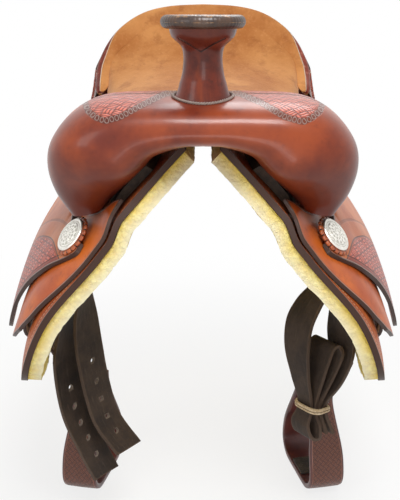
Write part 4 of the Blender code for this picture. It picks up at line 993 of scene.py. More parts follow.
frontJockey = [
    [(-0.021, 0.082, 0.003), (-0.008, 0.093, 0.003), (0.036, 0.132, 0.0), (0.106, 0.149, 0.0)],
    [(-0.0335, 0.11, 0.002), (0.002, 0.156, 0.0), (0.054, 0.18, 0.0), (0.108, 0.19, 0.0)],
    [(-0.03, 0.19, 0.0), (0.008, 0.222, 0.0), (0.058, 0.24, 0.0), (0.109, 0.24, 0.0)],
    [(-0.014, 0.246, 0.0), (0.022, 0.268, 0.0), (0.066, 0.278, 0.0), (0.109, 0.272, 0.0)],
    [(0.006, 0.278, 0.001), (0.04, 0.3, 0.001), (0.076, 0.302, 0.001), (0.108, 0.29, 0.0)],
]
seatJockeyTop = [(-0.008, 0.152, 0.0014), (0.032, 0.156, 0.0), (0.068, 0.152, 0.005), (0.08, 0.14, 0.008)]
seatJockey = [
    [(-0.012, 0.164, 0.0011), (0.034, 0.176, 0.0), (0.078, 0.18, 0.005), (0.14, 0.176, 0.012),
     (0.24, 0.176, 0.012), (0.34, 0.172, 0.006)],
    [(0.0, 0.184, 0.0), (0.04, 0.208, 0.001), (0.084, 0.23, 0.006), (0.146, 0.24, 0.009),
     (0.244, 0.232, 0.008), (0.342, 0.215, 0.003)],
    [(0.01, 0.198, 0.0), (0.05, 0.246, 0.002), (0.092, 0.286, 0.006), (0.142, 0.294, 0.007),
     (0.24, 0.276, 0.006), (0.338, 0.25, 0.002)],
    [(0.02, 0.214, 0.0), (0.06, 0.262, 0.003), (0.102, 0.314, 0.007), (0.136, 0.312, 0.007),
     (0.23, 0.29, 0.006), (0.33, 0.264, 0.002)],
]
# the rear jockey lies over the bars at its front and down on the skirt at its rear
rearBed, rearSkirt = gauge["skirt"] + gauge["bar"] + 0.0011, gauge["skirt"] + 0.0045
rearJockey = [
    [(0.368, 0.016, rearBed), (0.44, 0.012, rearBed), (0.52, 0.01, rearBed - 0.003), (0.575, 0.016, rearBed - 0.004)],
    [(0.366, 0.08, rearBed), (0.44, 0.08, rearBed), (0.525, 0.07, rearBed - 0.002), (0.598, 0.06, rearBed - 0.006)],
    [(0.366, 0.14, rearBed - 0.003), (0.44, 0.144, rearBed - 0.004), (0.525, 0.128, rearSkirt + 0.006),
     (0.59, 0.1, rearSkirt + 0.004)],
    [(0.372, 0.206, rearSkirt + 0.003), (0.44, 0.208, rearSkirt + 0.002), (0.51, 0.178, rearSkirt),
     (0.565, 0.13, rearSkirt)],
]
skirtLook = dict(russet, rough=0.44, coat=0.14, coatRough=0.25,
                 edge=dict(burnished, width=0.0016, under=(0.42, 0.24, 0.12)),
                 stamp={"pitch": 0.01, "depth": 0.5, "tint": 0.4, "inset": 0.012, "light": (0.66, 0.2, 0.055)},
                 stitch={"inset": 0.0075, "pitch": 0.0052, "colour": (0.62, 0.47, 0.3)})
jockeyLook = dict(russet, rough=0.4, coat=0.18, coatRough=0.2, mottle=0.45,
                  edge=dict(burnished, under=(0.42, 0.22, 0.1)))
# the colour of the stamping's raised weave is its own lighter tone with painted highlight
seatJockeyLook = dict(redTooled, rough=0.4, edge=dict(burnished, under=(0.4, 0.21, 0.11)), turn=0.35,
                      smooth=((0.38, 0.078, 0.014), (0.58, 0.16, 0.032)), stain=(0.17, 0.032, 0.01),
                      stampedWithHighlight=(0.66, 0.155, 0.105), pitch=0.0125)
rearJockeyLook = dict(redTooled, rough=0.36, coat=0.4, edge=burnished,
                      stamp={"pitch": 0.01, "depth": 1.2, "tint": 0.85, "inset": 0.011,
                             "light": (0.58, 0.15, 0.08)},
                      stitch={"inset": 0.006, "pitch": 0.0052, "colour": (0.55, 0.42, 0.28)})
woolPlan = {"columns": 190, "rows": 110, "slotRoom": 0.004}


def laid(rails, extra):
    return [[(y, drop, layerDepth(y) + extra + lift) for y, drop, lift in rail] for rail in rails]


# places just outside the seat pad's edge, where the seat leather runs down into the jockey
def seatEdgeRail():
    rail = []
    for v in seatPlan["edgeAt"]:
        edge = seatPoint(1.0, v)
        out = (edge - seatPoint(0.96, v)).normalized()
        rail.append(sideCoords(edge + out * seatPlan["edgeOut"] - seatNormal(1.0, v) * (gauge["pad"] * 0.75)))
    return rail


# cutters for the two slots of the rigging, for the skirt and, with some room, for the fleece
def slotCutters(sign, extra):
    half, tall = rigging["slotLength"] / 2 + extra, rigging["slotHeight"] / 2 + extra
    near, far, deep, cutters = rigging["y"] - half, rigging["y"] + half, 0.04, []
    for middle in (rigging["drop"] - rigging["pitch"] / 2, rigging["drop"] + rigging["pitch"] / 2):
        corners = ((near, -deep), (far, -deep), (far, deep), (near, deep))
        rings = [[sidePoint(drop, y, depth, sign) for y, depth in corners] for drop in (middle - tall, middle + tall)]
        cutters.append(solidRings("slotCutter", rings))
    return cutters


# smooth orange leather up at the swell, basket stamping on the skirt below a pressed line, its raised weave pale pink
# partly as painted highlight, and a crease above the line darkened as painted shade
def seatJockeyMaterial():
    look = seatJockeyLook
    g, colour, rough, height = leatherMaterial("seatJockeyLeather", look)
    y, drop = g.flat()
    rim, face = g.attribute("rim"), g.attribute("face")
    start = drop - g.ramp(y, 0.02, 0.3, 0.0, 0.1)
    smooth = g.stain(*look["smooth"], g.noise(12.0, 4.0), 0.3, 0.7)
    smooth = g.stain(smooth, look["stain"], g.noise(90.0, 4.0, 0.6), 0.52, 0.8, 0.35)
    inner = g.ramp(rim, 0.0016, 0.003) * face
    colour = g.mix(colour, smooth, (1.0 - g.ramp(start, 0.182, 0.188)) * inner)
    wave = basketStamp(g, y + drop * look["turn"] + 10.0, drop - y * look["turn"] + 10.0, look["pitch"])
    field = g.ramp(start, 0.186, 0.188) * g.ramp(rim, 0.0085, 0.0095) * face
    # the raised weave pale pink: the stamping's own lighter tone and painted highlight
    colour = g.mix(colour, g.mix(look["deep"], look["stampedWithHighlight"], wave), field * 0.92)
    line = g.band(start, 0.1845, 0.0005, 0.0006) + g.band(rim, 0.0078, 0.0004, 0.0005)
    line = line * inner * g.ramp(start, 0.18, 0.183)
    # a crease pressed in above the tooling, darkened as painted shade
    crease = g.band(start, 0.16, 0.0008, 0.0022) * g.ramp(y, 0.02, 0.04) * inner
    colour = g.mix(g.mix(colour, look["deep"], line * 0.8), look["deep"], crease * 0.4)
    height = height + wave * field * 1.3 - line * 0.7 - crease * 0.9
    return g.finish(colour, rough, height, 0.2, 0.2, 0.3)


# the fleece: a lumpy pelt whose pile shows at its edges and on the horse's side
def woolSheet(name, sign, rails, thickness):
    columns, rows = woolPlan["columns"], woolPlan["rows"]

    def spot(a, b):
        y, drop, depth = railPoint(rails, a, b)
        skin, pile = sidePoint(drop, y, depth + thickness, sign), sidePoint(drop, y, depth, sign)
        lump = noise.noise(pile * 60.0) * 0.001 + noise.noise(pile * 190.0 + Vector((7.0, 3.0, 1.0))) * 0.0008
        out = (skin - pile).normalized()
        pile += out * max(lump + 0.001, -0.0004)
        if min(min(a, 1 - a) * (columns - 1), min(b, 1 - b) * (rows - 1)) < 1.5:
            inward = 0.001 * noise.noise(skin * 120.0) + 0.001 * noise.noise(skin * 310.0)
            shift = Vector((0.0, 1.0 if a < 0.5 else -1.0, 0.0)) * max(inward, -0.0006)
            pile += shift + out * 0.0008
            skin += shift * 0.5
        return skin, pile, (y, drop)

    return slab(name, *grids(rows, columns, spot))


def fleeceMaterial():
    g = Graph("sheepskinPile")
    clump, curl, broad = g.noise(60.0, 5.0, 0.7), g.noise(240.0, 4.0, 0.75), g.noise(16.0, 4.0, 0.6)
    tuft, rim, hidden = g.cells(170.0), g.attribute("rim"), 1.0 - g.attribute("face")
    colour = g.stains((0.86, 0.62, 0.11), ((0.94, 0.79, 0.25), clump, 0.34, 0.66),
                      ((0.9, 0.82, 0.45), curl, 0.52, 0.8, 0.6), ((0.62, 0.44, 0.12), tuft, 0.4, 0.75, 0.45),
                      ((0.8, 0.56, 0.04), broad, 0.46, 0.6, 0.75))
    pale = g.ramp(rim + (curl - 0.5) * 0.004, 0.001, 0.0045, 0.75, 0.0) * hidden
    colour = g.mix(colour, (0.9, 0.86, 0.68), pale)
    hide = g.mix((0.7, 0.58, 0.34), (0.8, 0.7, 0.48), g.noise(130.0))
    hide = g.mix(hide, (0.2, 0.12, 0.06), g.fall(g.cells(120.0), 0.05, 0.1) * 0.8)
    bare = g.ramp(broad, 0.46, 0.6) * g.ramp(rim, 0.006, 0.022) * hidden
    return g.done(g.mix(colour, hide, bare * 0.6), 0.95, clump * 0.8 + curl * 1.0 - tuft * 0.6, 0.0018,
                  Sheen_Weight=0.1, Sheen_Roughness=0.6, Subsurface_Weight=0.08,
                  Subsurface_Radius=(0.01, 0.008, 0.004))


def makeSides():
    bottom, jockeyLeather = leather("skirtLeather", skirtLook), leather("frontJockeyLeather", jockeyLook)
    seatLeather, rearLeather = seatJockeyMaterial(), leather("rearJockeyLeather", rearJockeyLook)
    wool, edge, extra = fleeceMaterial(), seatEdgeRail(), gauge["jockey"] + gauge["lay"]
    seatRows = [laid([seatJockeyTop], extra)[0] + edge] + laid(seatJockey, extra)
    pelt = skirtRails(-gauge["fleece"] - gauge["lay"], skirtSize["fleeceInset"])
    layers = (("frontJockey", "front_jockey", laid(frontJockey, 0.0), 60, 60, jockeyLeather, "russet_leather"),
              ("seatJockey", "seat_jockey", seatRows, 90, 54, seatLeather, "tooled_leather"),
              ("rearJockey", "rear_jockey", rearJockey, 64, 56, rearLeather, "tooled_leather"))
    for word, sign in sideWords:
        side = word.capitalize()
        skirt = sideLayer(f"skirt{side}", sign, skirtRails(0.0, 0.0), gauge["skirt"], 120, 72)
        roundEdges(applyCut(skirt, slotCutters(sign, 0.0)), 0.0012)
        dress(skirt, bottom, [f"skirt_{word}"])
        fleece = woolSheet(f"fleece{side}", sign, pelt, gauge["fleece"])
        applyCut(fleece, slotCutters(sign, woolPlan["slotRoom"]))
        dress(fleece, wool, [f"fleece_{word}"])
        for name, node, rails, columns, rows, material, slotName in layers:
            piece = sideLayer(name + side, sign, rails, gauge["jockey"], columns, rows)
            dress(roundEdges(piece, 0.0012), material, [f"{node}_{word}"])


makeSides()
print("sides")


# Conchos and their rosettes
conchoPlan = {"radius": 0.0205, "thick": 0.003, "rosette": 0.0245, "rosetteThick": 0.003, "scallops": 20,
              "notch": 0.065, "notchRound": 0.8,
              "levels": ((0.0, 0.97), (0.25, 1.0), (0.6, 1.0), (0.9, 0.975), (1.0, 0.93), (1.0, 0.8)),
              "dome": ((0.0, 0.0015), (0.18, 0.00145), (0.35, 0.0012), (0.52, 0.0008), (0.68, 0.0002),
                       (0.72, -0.0005), (0.76, -0.0006), (0.9, -0.0006), (0.95, -0.0004), (0.985, -0.001)),
              "front": (0.012, 0.157), "rear": (0.545, 0.075)}
rosetteLook = {"light": (0.5, 0.13, 0.035), "dark": (0.32, 0.065, 0.02), "deep": (0.07, 0.016, 0.01),
               "rough": 0.42, "broad": 40.0}


# engraved silver: a rayed border, a beaded ring and a scrolled flower, dark in the cuts
def conchoMaterial():
    g = Graph("engravedSilver")
    x, y = g.flat()
    radius, angle = g.length(x, y) / conchoPlan["radius"], g.math("ARCTAN2", y, x)
    beads = g.sineSize(angle * 22.0) * g.band(radius, 0.74, 0.03, 0.02)
    scroll = g.math("SINE", angle * 8.0 + radius * 9.0) * g.math("SINE", radius * 17.0 - angle * 4.0)
    flower = g.ramp(scroll, -0.25, 0.15) * g.fall(radius, 0.66, 0.7)
    relief = g.math("MAXIMUM", flower, g.fall(radius, 0.1, 0.13))
    relief = g.math("MAXIMUM", relief, beads) + g.sineSize(angle * 28.0) * g.band(radius, 0.88, 0.055, 0.02)
    cut = g.fall(relief, 0.1, 0.55) * g.fall(radius, 0.94, 0.96)
    scratch = g.noise(300.0, 3.0, 0.6)
    colour = g.stain((0.92, 0.9, 0.84), (0.78, 0.75, 0.68), scratch, 0.4, 0.7)
    colour = g.mix(colour, (0.42, 0.4, 0.34), cut * 0.65)
    return g.done(colour, 0.34 + cut * 0.25 + scratch * 0.1, relief + scratch * 0.1, 0.0005, Metallic=1.0)


def rosetteMaterial():
    g, colour, rough, height = leatherMaterial("rosetteLeather", rosetteLook)
    x, y = g.flat()
    fold = g.sineSize(g.math("ARCTAN2", y, x) * (conchoPlan["scallops"] / 2))
    # painted shade: the notches between the scallops, near black and sunk a little
    gap = g.fall(fold, 0.05, 0.45) * g.ramp(g.length(x, y), 0.0195, 0.0215)
    return g.finish(g.mix(colour, (0.03, 0.01, 0.008), gap * 0.95), rough, height - gap, 0.25, 0.25, depth=0.001)


def makeConcho(word, which, frameAt, silver, scalloped):
    plan, side = conchoPlan, which.capitalize() + word.capitalize()
    rings, flat = [], []
    for level, shrink in plan["levels"]:
        ring = []
        for turn in angles(240):
            scallop = abs(math.sin(turn * plan["scallops"] / 2)) ** plan["notchRound"]
            lobe = 1.0 - plan["notch"] * (1.0 - scallop)
            away = plan["rosette"] * shrink * (lobe if shrink > 0.9 else 0.97)
            spot = polar(away, turn, plan["rosetteThick"] * level)
            ring.append(frameAt @ spot)
            flat.append(spot[:2])
        rings.append(ring)
    rosette = solidRings(f"rosette{side}", rings, flat)
    dress(rosette, scalloped, [f"rosette_{which}_{word}"])
    r, h = plan["radius"], plan["thick"]
    profile = [(share * r, h + rise) for share, rise in plan["dome"]]
    profile += [(r, h * 0.5), (r * 0.985, 0.0004), (r * 0.96, 0.0), (0.0, -0.00001)]
    place = frameAt @ Matrix.Translation((0.0, 0.0, plan["rosetteThick"] + 0.0003))
    concho = turnedPiece(f"concho{side}", profile, place, 128)
    dress(concho, silver, [f"concho_{which}_{word}"])


def makeConchos():
    silver, scalloped = conchoMaterial(), rosetteMaterial()
    stack = 2 * gauge["jockey"] + 2 * gauge["lay"] + 0.0002
    for word, sign in sideWords:
        y, drop = conchoPlan["front"]

        def at(dy, du):
            return sidePoint(drop + du, y + dy, layerDepth(y + dy) + stack, sign)

        along, down = at(0.012, 0.0) - at(-0.012, 0.0), at(0.0, 0.012) - at(0.0, -0.012)
        makeConcho(word, "front", standing(at(0.0, 0.0), down.cross(along) * sign), silver, scalloped)
        y, drop = conchoPlan["rear"]
        place = sidePoint(drop, y, gauge["skirt"] + gauge["bar"] + gauge["jockey"] - 0.0005, sign)
        normal = sidePoint(drop, y, 1.0, sign) - sidePoint(drop, y, 0.0, sign)
        makeConcho(word, "rear", standing(place, normal.normalized()), silver, scalloped)


makeConchos()
print("conchos")


# Straps: the off billet and the latigo, each laced through the rigging's two slots. Their rows are (x, z, twist,
# half width) down the horse's side of the skirt, and down its outer side
strapHalf = rigging["strapHalf"]
gatherHalf = 0.0125
foldX = (0.129, 0.1353, 0.1416, 0.1479)
billet = {
    "inner": [(0.1445, -0.196, 0.3, strapHalf), (0.1436, -0.235, 0.8, strapHalf), (0.1404, -0.279, 1.0, strapHalf),
              (0.1324, -0.331, 1.0, strapHalf), (0.1211, -0.372, 1.0, strapHalf), (0.0953, -0.413, 1.0, strapHalf)],
    "outer": [(0.1655, -0.222, 0.3, strapHalf), (0.169, -0.262, 0.8, strapHalf), (0.1698, -0.3, 1.0, strapHalf),
              (0.1625, -0.358, 1.0, strapHalf), (0.144, -0.408, 1.0, strapHalf), (0.1262, -0.45, 1.0, strapHalf)],
    "light": (0.052, 0.033, 0.022), "dark": (0.02, 0.012, 0.008), "holes": 5, "firstHole": 0.03, "curl": 0.0008}


def gathered(fold, down):
    heights = (rigging["gatherZ"] + 0.008, rigging["gatherZ"] - 0.008)
    return [(foldX[fold], z, 1.0, gatherHalf) for z in (heights if down else heights[::-1])]


latigo = {
    "inner": [(0.144, -0.19, 0.3, strapHalf), (0.129, -0.214, 0.8, strapHalf), (0.1185, -0.24, 1.0, strapHalf),
              (0.1165, -0.275, 1.0, 0.021), (0.122, -0.312, 1.0, 0.016), *gathered(0, True),
              (0.124, -0.376, 1.0, 0.015), (0.129, -0.392, 1.0, 0.016), (0.1385, -0.392, 1.0, 0.016),
              (0.1395, -0.376, 1.0, 0.015), *gathered(1, False),
              (0.138, -0.315, 1.0, 0.017), (0.143, -0.286, 1.0, 0.02), (0.148, -0.268, 1.0, 0.021),
              (0.155, -0.264, 1.0, 0.021), (0.159, -0.276, 1.0, 0.021), (0.153, -0.302, 1.0, 0.018),
              *gathered(2, True), (0.1475, -0.385, 1.0, 0.016)],
    "outer": [(0.1655, -0.222, 0.4, strapHalf), (0.17, -0.25, 1.0, strapHalf), (0.171, -0.28, 1.0, 0.021),
              (0.162, -0.315, 1.0, 0.017), *gathered(3, True), (0.156, -0.385, 1.0, 0.016)],
    "light": (0.055, 0.035, 0.024), "dark": (0.022, 0.014, 0.01)}
thong = {"width": 0.007, "groove": 0.0008, "bulge": 0.003, "room": 0.0075, "sway": 0.0009}


def strapRow(sign, x, z, twist, half):
    turn = math.radians(rigging["twist"]) * twist
    across = Vector((-sign * math.sin(turn), math.cos(turn), 0.0)) * half
    return Vector((sign * x, rigging["y"], z)), across


# the middle line of a strap that goes in at one slot, round the plate's bar and out at the other
def lacedStrap(sign, plan, count):
    within = -gauge["fleece"] - gauge["lay"]
    without = gauge["skirt"] + gauge["lay"] + rigging["plate"] + gauge["strap"] / 2 + 0.0008
    middle, y = rigging["drop"], rigging["y"]
    high, low = middle - rigging["pitch"] / 2, middle + rigging["pitch"] / 2
    bar = [(high, within + 0.001), (high, -0.006), (high + 0.0005, without - 0.007),
           (high + 0.0055, without - 0.0008), (middle - 0.004, without), (middle + 0.004, without),
           (low - 0.0055, without - 0.0008), (low - 0.0005, without - 0.007), (low, -0.006), (low, within + 0.001)]
    rows = [strapRow(sign, *spot) for spot in reversed(plan["inner"])]
    rows += [(sidePoint(drop, y, depth, sign), sideAcross(drop, y, strapHalf, sign)) for drop, depth in bar]
    rows += [strapRow(sign, *spot) for spot in plan["outer"]]
    return [[through(column, t) for t in steps(count)] for column in zip(*rows)]


# a strap along centre points, with its half width across at each; its edges may curl a little
def ribbonLayer(name, centre, across, columns=9, curl=0.0):
    over, under, flat, run = [], [], [], 0.0
    for i, (place, half, way) in enumerate(zip(centre, across, directions(centre))):
        normal = way.cross(half).normalized()
        run += (place - centre[i - 1]).length if i else 0.0
        sides = [2 * a - 1 for a in steps(columns)]
        wave = 0.0005 * noise.noise(place * 40.0)
        row = [place + half * s + normal * (curl * (s * s - 0.4) + wave * s) for s in sides]
        over.append([spot + normal * gauge["strap"] / 2 for spot in row])
        under.append([spot - normal * gauge["strap"] / 2 for spot in row])
        flat.append([(run, half.length * s) for s in sides])
    return slab(name, over, under, flat)


# oil-tanned strap leather: matt, wrinkled along its length, paler at worn edges and round its holes
def strapMaterial(name, light, dark, holes=False):
    g = Graph(name)
    u, v = g.flat()
    broad, fine = g.noise(24.0, 4.0, 0.65), g.noise(420.0, 3.0, 0.6)
    streak, crease = g.folds(u * 45.0, v * 260.0, 4.0, 0.65), g.folds(u * 230.0, v * 60.0, 4.0, 0.7)
    colour = g.stains(dark, (light, broad, 0.3, 0.7), ((0.105, 0.072, 0.05), streak, 0.52, 0.78, 0.45),
                      ((0.018, 0.011, 0.008), crease, 0.56, 0.76, 0.6),
                      ((0.12, 0.075, 0.05), g.attribute("rim"), 0.0008, 0.0022, 0.0, 0.45))
    if holes:
        colour = g.mix(colour, (0.3, 0.24, 0.19), g.attribute("hole") * 0.85)
    height = streak * 0.5 - crease * 0.5 + fine * 0.25
    return g.finish(colour, 0.62 + broad * 0.15, height, 0.05, 0.4, 0.3, depth=0.0009)


def makeOffBillet():
    centre, across = lacedStrap(-1, billet, 241)
    piece = ribbonLayer("offBillet", centre, across, 11, billet["curl"])
    lengths = [0.0]
    for a, b in zip(centre, centre[1:]):
        lengths.append(lengths[-1] + (b - a).length)
    size, cutters, spots = rigging["hole"], [], []
    first = [billet["firstHole"] + rigging["holePitch"] * number for number in range(billet["holes"])]
    for goal in first + [lengths[-1] - along for along in first]:
        i = min(range(1, len(centre) - 1), key=lambda k: abs(lengths[k] - goal))
        way = (centre[i + 1] - centre[i - 1]).normalized()
        place = standing(centre[i], way.cross(across[i]).normalized())
        rings = [[place @ polar(size, turn + 0.07, level) for turn in angles(24)] for level in (-0.008, 0.008)]
        cutters.append(solidRings("billetHole", rings))
        spots.append(np.array(centre[i]))
    mesh = applyCut(piece, cutters).data
    places = np.zeros(len(mesh.vertices) * 3, np.float32)
    mesh.vertices.foreach_get("co", places)
    gap = np.min([np.linalg.norm(places.reshape(-1, 3) - spot, axis=1) for spot in spots], axis=0)
    setAttribute(mesh, "hole", np.clip((size * 1.35 - gap) / (size * 0.25), 0.0, 1.0))
    roundEdges(piece, 0.0009, 2)
    dark = strapMaterial("billetLeather", billet["light"], billet["dark"], holes=True)
    dress(piece, dark, ["off_billet"])


def makeLatigo():
    piece = roundEdges(ribbonLayer("latigo", *lacedStrap(1, latigo, 389)), 0.0009, 2)
    dark = strapMaterial("latigoLeather", latigo["light"], latigo["dark"])
    dress(piece, dark, ["latigo"])


# the thong: one band round the gathered folds, grooved so that it reads as two turns
def makeTie():
    turn = math.radians(rigging["twist"])
    wide, deep = Vector((-math.sin(turn), math.cos(turn), 0.0)), Vector((math.cos(turn), math.sin(turn), 0.0))
    middle = Vector(((foldX[0] + foldX[3]) / 2, rigging["y"], rigging["gatherZ"]))
    reach = (foldX[3] - foldX[0]) / 2 * math.cos(turn) + gauge["strap"] / 2 + 0.0022
    outer, inner, flat = [], [], []
    for level in steps(9):
        off = level - 0.5
        rise, groove = off * thong["width"], thong["groove"] * math.exp(-(off / 0.07) ** 2)
        bulge = thong["bulge"] * math.sqrt(max(1.0 - (2 * abs(off) * 0.9) ** 4, 0.0)) - groove
        for rings, grow in ((outer, bulge), (inner, 0.0)):
            ring = []
            for angle in angles(96):
                c, s = boxed(angle, 0.5)
                lift = up * (rise + thong["sway"] * math.sin(angle * 2.0 + 0.6))
                spot = middle + wide * (c * (gatherHalf + thong["room"] + grow))
                ring.append(spot + deep * (s * (reach + grow)) + lift)
            rings.append(ring)
        flat += [(angle * 0.02, rise) for angle in angles(96)]
    tie = tubeMesh("latigoTie", outer, inner, flat)
    g = Graph("paleThong")
    streak, line = g.noise(260.0, 4.0, 0.7), g.band(g.flat()[1], 0.0, 0.0003, 0.0004)
    colour = g.stain((0.42, 0.3, 0.17), (0.66, 0.54, 0.37), streak, 0.35, 0.65)
    pale = g.done(g.mix(colour, (0.16, 0.1, 0.06), line * 0.8), 0.8, streak - line, 0.0006)
    dress(tie, pale, ["latigo_tie"])


makeOffBillet()
makeLatigo()
makeTie()
print("straps")


# Stirrup leathers, fenders, hobble straps and stirrups
hangSpots = [(mix(hang["start"], hang["end"], t), hang["lift"] * t) for t in steps(11)]
hangFree = [(0.052, 0.084), (0.03, 0.044)]
loopReach = hang["roller"] + gauge["strap"] / 2 + 0.0008
fenderShape = [0.55, 0.86, 1.0, 0.97, 0.86, 0.64, 0.38, 0.25]
fenderLook = dict(jockeyLook, stamp={"pitch": 0.0115, "inset": 0.012, "depth": 1.0, "tint": 0.7,
                                     "light": (0.5, 0.13, 0.045), "turn": 45.0})
hobblePlan = {"from": 0.905, "to": 0.945, "thick": 0.003, "swell": 0.0003, "half": 0.0066, "room": 0.004,
              "corner": 0.35, "middle": 0.0022, "buckle": (0.0105, 0.0115), "wire": (0.0015, 0.0011),
              "tongue": ((-0.0112, 0.0006), (-0.008, 0.0012), (0.0, 0.0011), (0.008, 0.0012), (0.0118, 0.0016))}
groundLook = {"light": (0.2, 0.085, 0.04), "dark": (0.12, 0.045, 0.024), "deep": (0.03, 0.012, 0.008), "rough": 0.6,
              "coat": 0.05}


# the middle line of the stirrup leather, from the bar to the bolt
def hangingRoute(sign):
    y, depth = hang["slotY"], hang["depth"] + gauge["strap"] / 2
    spots = [sidePoint(drop, y, depth + lift, sign) for drop, lift in hangSpots]
    spots += [Vector((sign * (hang["x"] + away), y, hang["boltZ"] + rise)) for away, rise in hangFree]
    return spots + [Vector((sign * (hang["x"] + loopReach), y, hang["boltZ"]))]


hangRoutes = {sign: hangingRoute(sign) for word, sign in sideWords}


# point of a layer that hangs with the stirrup leather, at t down it and away from its middle line
def hangPoint(t, away, extra, sign):
    route, y = hangRoutes[sign], hang["slotY"]
    place = through(route, t)
    down = through(route, t + 0.01) - through(route, t - 0.01)
    drop = smoothValue([d for d, lift in hangSpots], t * (len(route) - 1) / (len(hangSpots) - 1))
    lay = sidePoint(drop, y + away, 0.0, sign) - sidePoint(drop, y, 0.0, sign)
    lay = lay.lerp(Vector((0.0, away, 0.0)), ease((t - hang["levelFrom"]) / hang["levelIn"]))
    turned = ease((t - hang["turnFrom"]) / hang["turnIn"])
    turn = Matrix.Rotation(sign * math.radians(hang["yaw"]) * turned, 3, "Z")
    across = turn @ sideAcross(drop, y, 0.02, sign)
    return place + turn @ lay + down.cross(across).normalized() * sign * extra


def alongBolt(sign):
    turn = math.radians(hang["yaw"])
    return Vector((-sign * math.sin(turn), math.cos(turn), 0.0))


def axesAt(place, x, y, z):
    return Matrix.Translation(place) @ Matrix((x, y, z)).transposed().to_4x4()


# a closed layer about the rows, or over them, along their own normals
def thickRows(name, rows, thickness, middle, flat):
    above, below = (0.5, 0.5) if middle else (1.0, 0.0)
    pairs = [list(zip(row, normals)) for row, normals in zip(rows, gridNormals(rows))]
    over = [[place + normal * thickness * above for place, normal in pair] for pair in pairs]
    under = [[place - normal * thickness * below for place, normal in pair] for pair in pairs]
    return slab(name, over, under, flat)


def makeLeather(word, sign, material):
    columns = [1 - 2 * a for a in steps(7)]
    rows = [[hangPoint(t, sign * strapHalf * side, 0.0, sign) for side in columns] for t in steps(79)]
    axle, wide = Vector((sign * hang["x"], hang["slotY"], hang["boltZ"])), alongBolt(sign)
    out = Vector((wide.y, -wide.x, 0.0)) * sign
    around = [axle + out * (loopReach * math.cos(math.pi * i / 16)) - up * (loopReach * math.sin(math.pi * i / 16))
              for i in range(1, 17)]
    around += [axle - out * (loopReach - 0.1 * rise) + up * rise for rise in (0.006, 0.012, 0.019, 0.026)]
    rows += [[place + wide * (sign * strapHalf * side) for side in columns] for place in around]
    flat = [[(0.6 * r / len(rows), -strapHalf * side) for side in columns] for r in range(len(rows))]
    piece = thickRows(f"stirrupLeather{word.capitalize()}", rows, gauge["strap"], True, flat)
    dress(roundEdges(piece, 0.0009, 2), material, [f"stirrup_leather_{word}"],
          f"fender_{word}_swinging")


def makeFender(word, sign, material):
    lift = gauge["strap"] / 2 + gauge["lay"] + 0.0001
    rows, flat = [], []
    for b in steps(61):
        wide = smoothValue(fenderShape, b) * hang["fenderWidth"] / 2
        t = mix(*hang["fenderSpan"], b)
        rows.append([hangPoint(t, sign * wide * (1 - 2 * a), lift, sign) for a in steps(25)])
        flat.append([(0.33 * b, wide * (2 * a - 1)) for a in steps(25)])
    piece = roundEdges(thickRows(f"fender{word.capitalize()}", rows, gauge["fender"], False, flat), 0.0012, 2)
    dress(piece, material, [f"fender_{word}"], f"fender_{word}_swinging")


# the strap buckled round the fender's tail and the stirrup leather, with its buckle and tongue
def makeHobble(word, sign, material, metal):
    plan, side, body = hobblePlan, word.capitalize(), f"fender_{word}_swinging"
    inner, outer = [], []
    for step in steps(7):
        t = mix(plan["from"], plan["to"], step)
        middle = hangPoint(t, 0.0, 0.0, sign)
        wide = (hangPoint(t, strapHalf, 0.0, sign) - middle).normalized()
        out = (hangPoint(t, 0.0, 0.001, sign) - middle).normalized()
        for rings, grow in ((inner, 0.0), (outer, plan["thick"] + plan["swell"] * math.sin(math.pi * step))):
            shape = [boxed(turn, plan["corner"]) for turn in angles(120)]
            rings.append([middle + wide * (s * (strapHalf + plan["room"] + grow))
                          + out * (plan["middle"] + c * (plan["half"] + grow)) for c, s in shape])
        if step == 0.5:
            front = middle + out * (plan["middle"] + plan["half"] + plan["thick"] + 0.0006)
            frame = axesAt(front, wide, out.cross(wide), out)
    flat = [(0.018 * step, 0.0012 * i) for step in steps(7) for i in range(120)]
    strap = tubeMesh(f"hobbleStrap{side}", outer, inner, flat)
    dress(strap, material, [f"hobble_strap_{word}"], body)
    (reach, tall), (wire, deep), rings = plan["buckle"], plan["wire"], []
    for turn in angles(96):
        c, s = boxed(turn, 0.4)
        spot = Vector((c * reach, s * tall, 0.0))
        rings.append([frame @ (spot + spot.normalized() * (wire * math.cos(k)) + up * (deep * math.sin(k)))
                      for k in angles(12)])
    buckle = solidRings(f"hobbleBuckle{side}", rings, [(0.0, 0.0)] * (12 * 96), loop=True)
    dress(buckle, metal, body=body)
    rings = [[frame @ Vector((x, 0.0007 * math.cos(k), 0.0008 * math.sin(k) + lift)) for k in angles(10)]
             for x, lift in plan["tongue"]]
    dress(solidRings(f"hobbleTongue{side}", rings), metal, body=body)


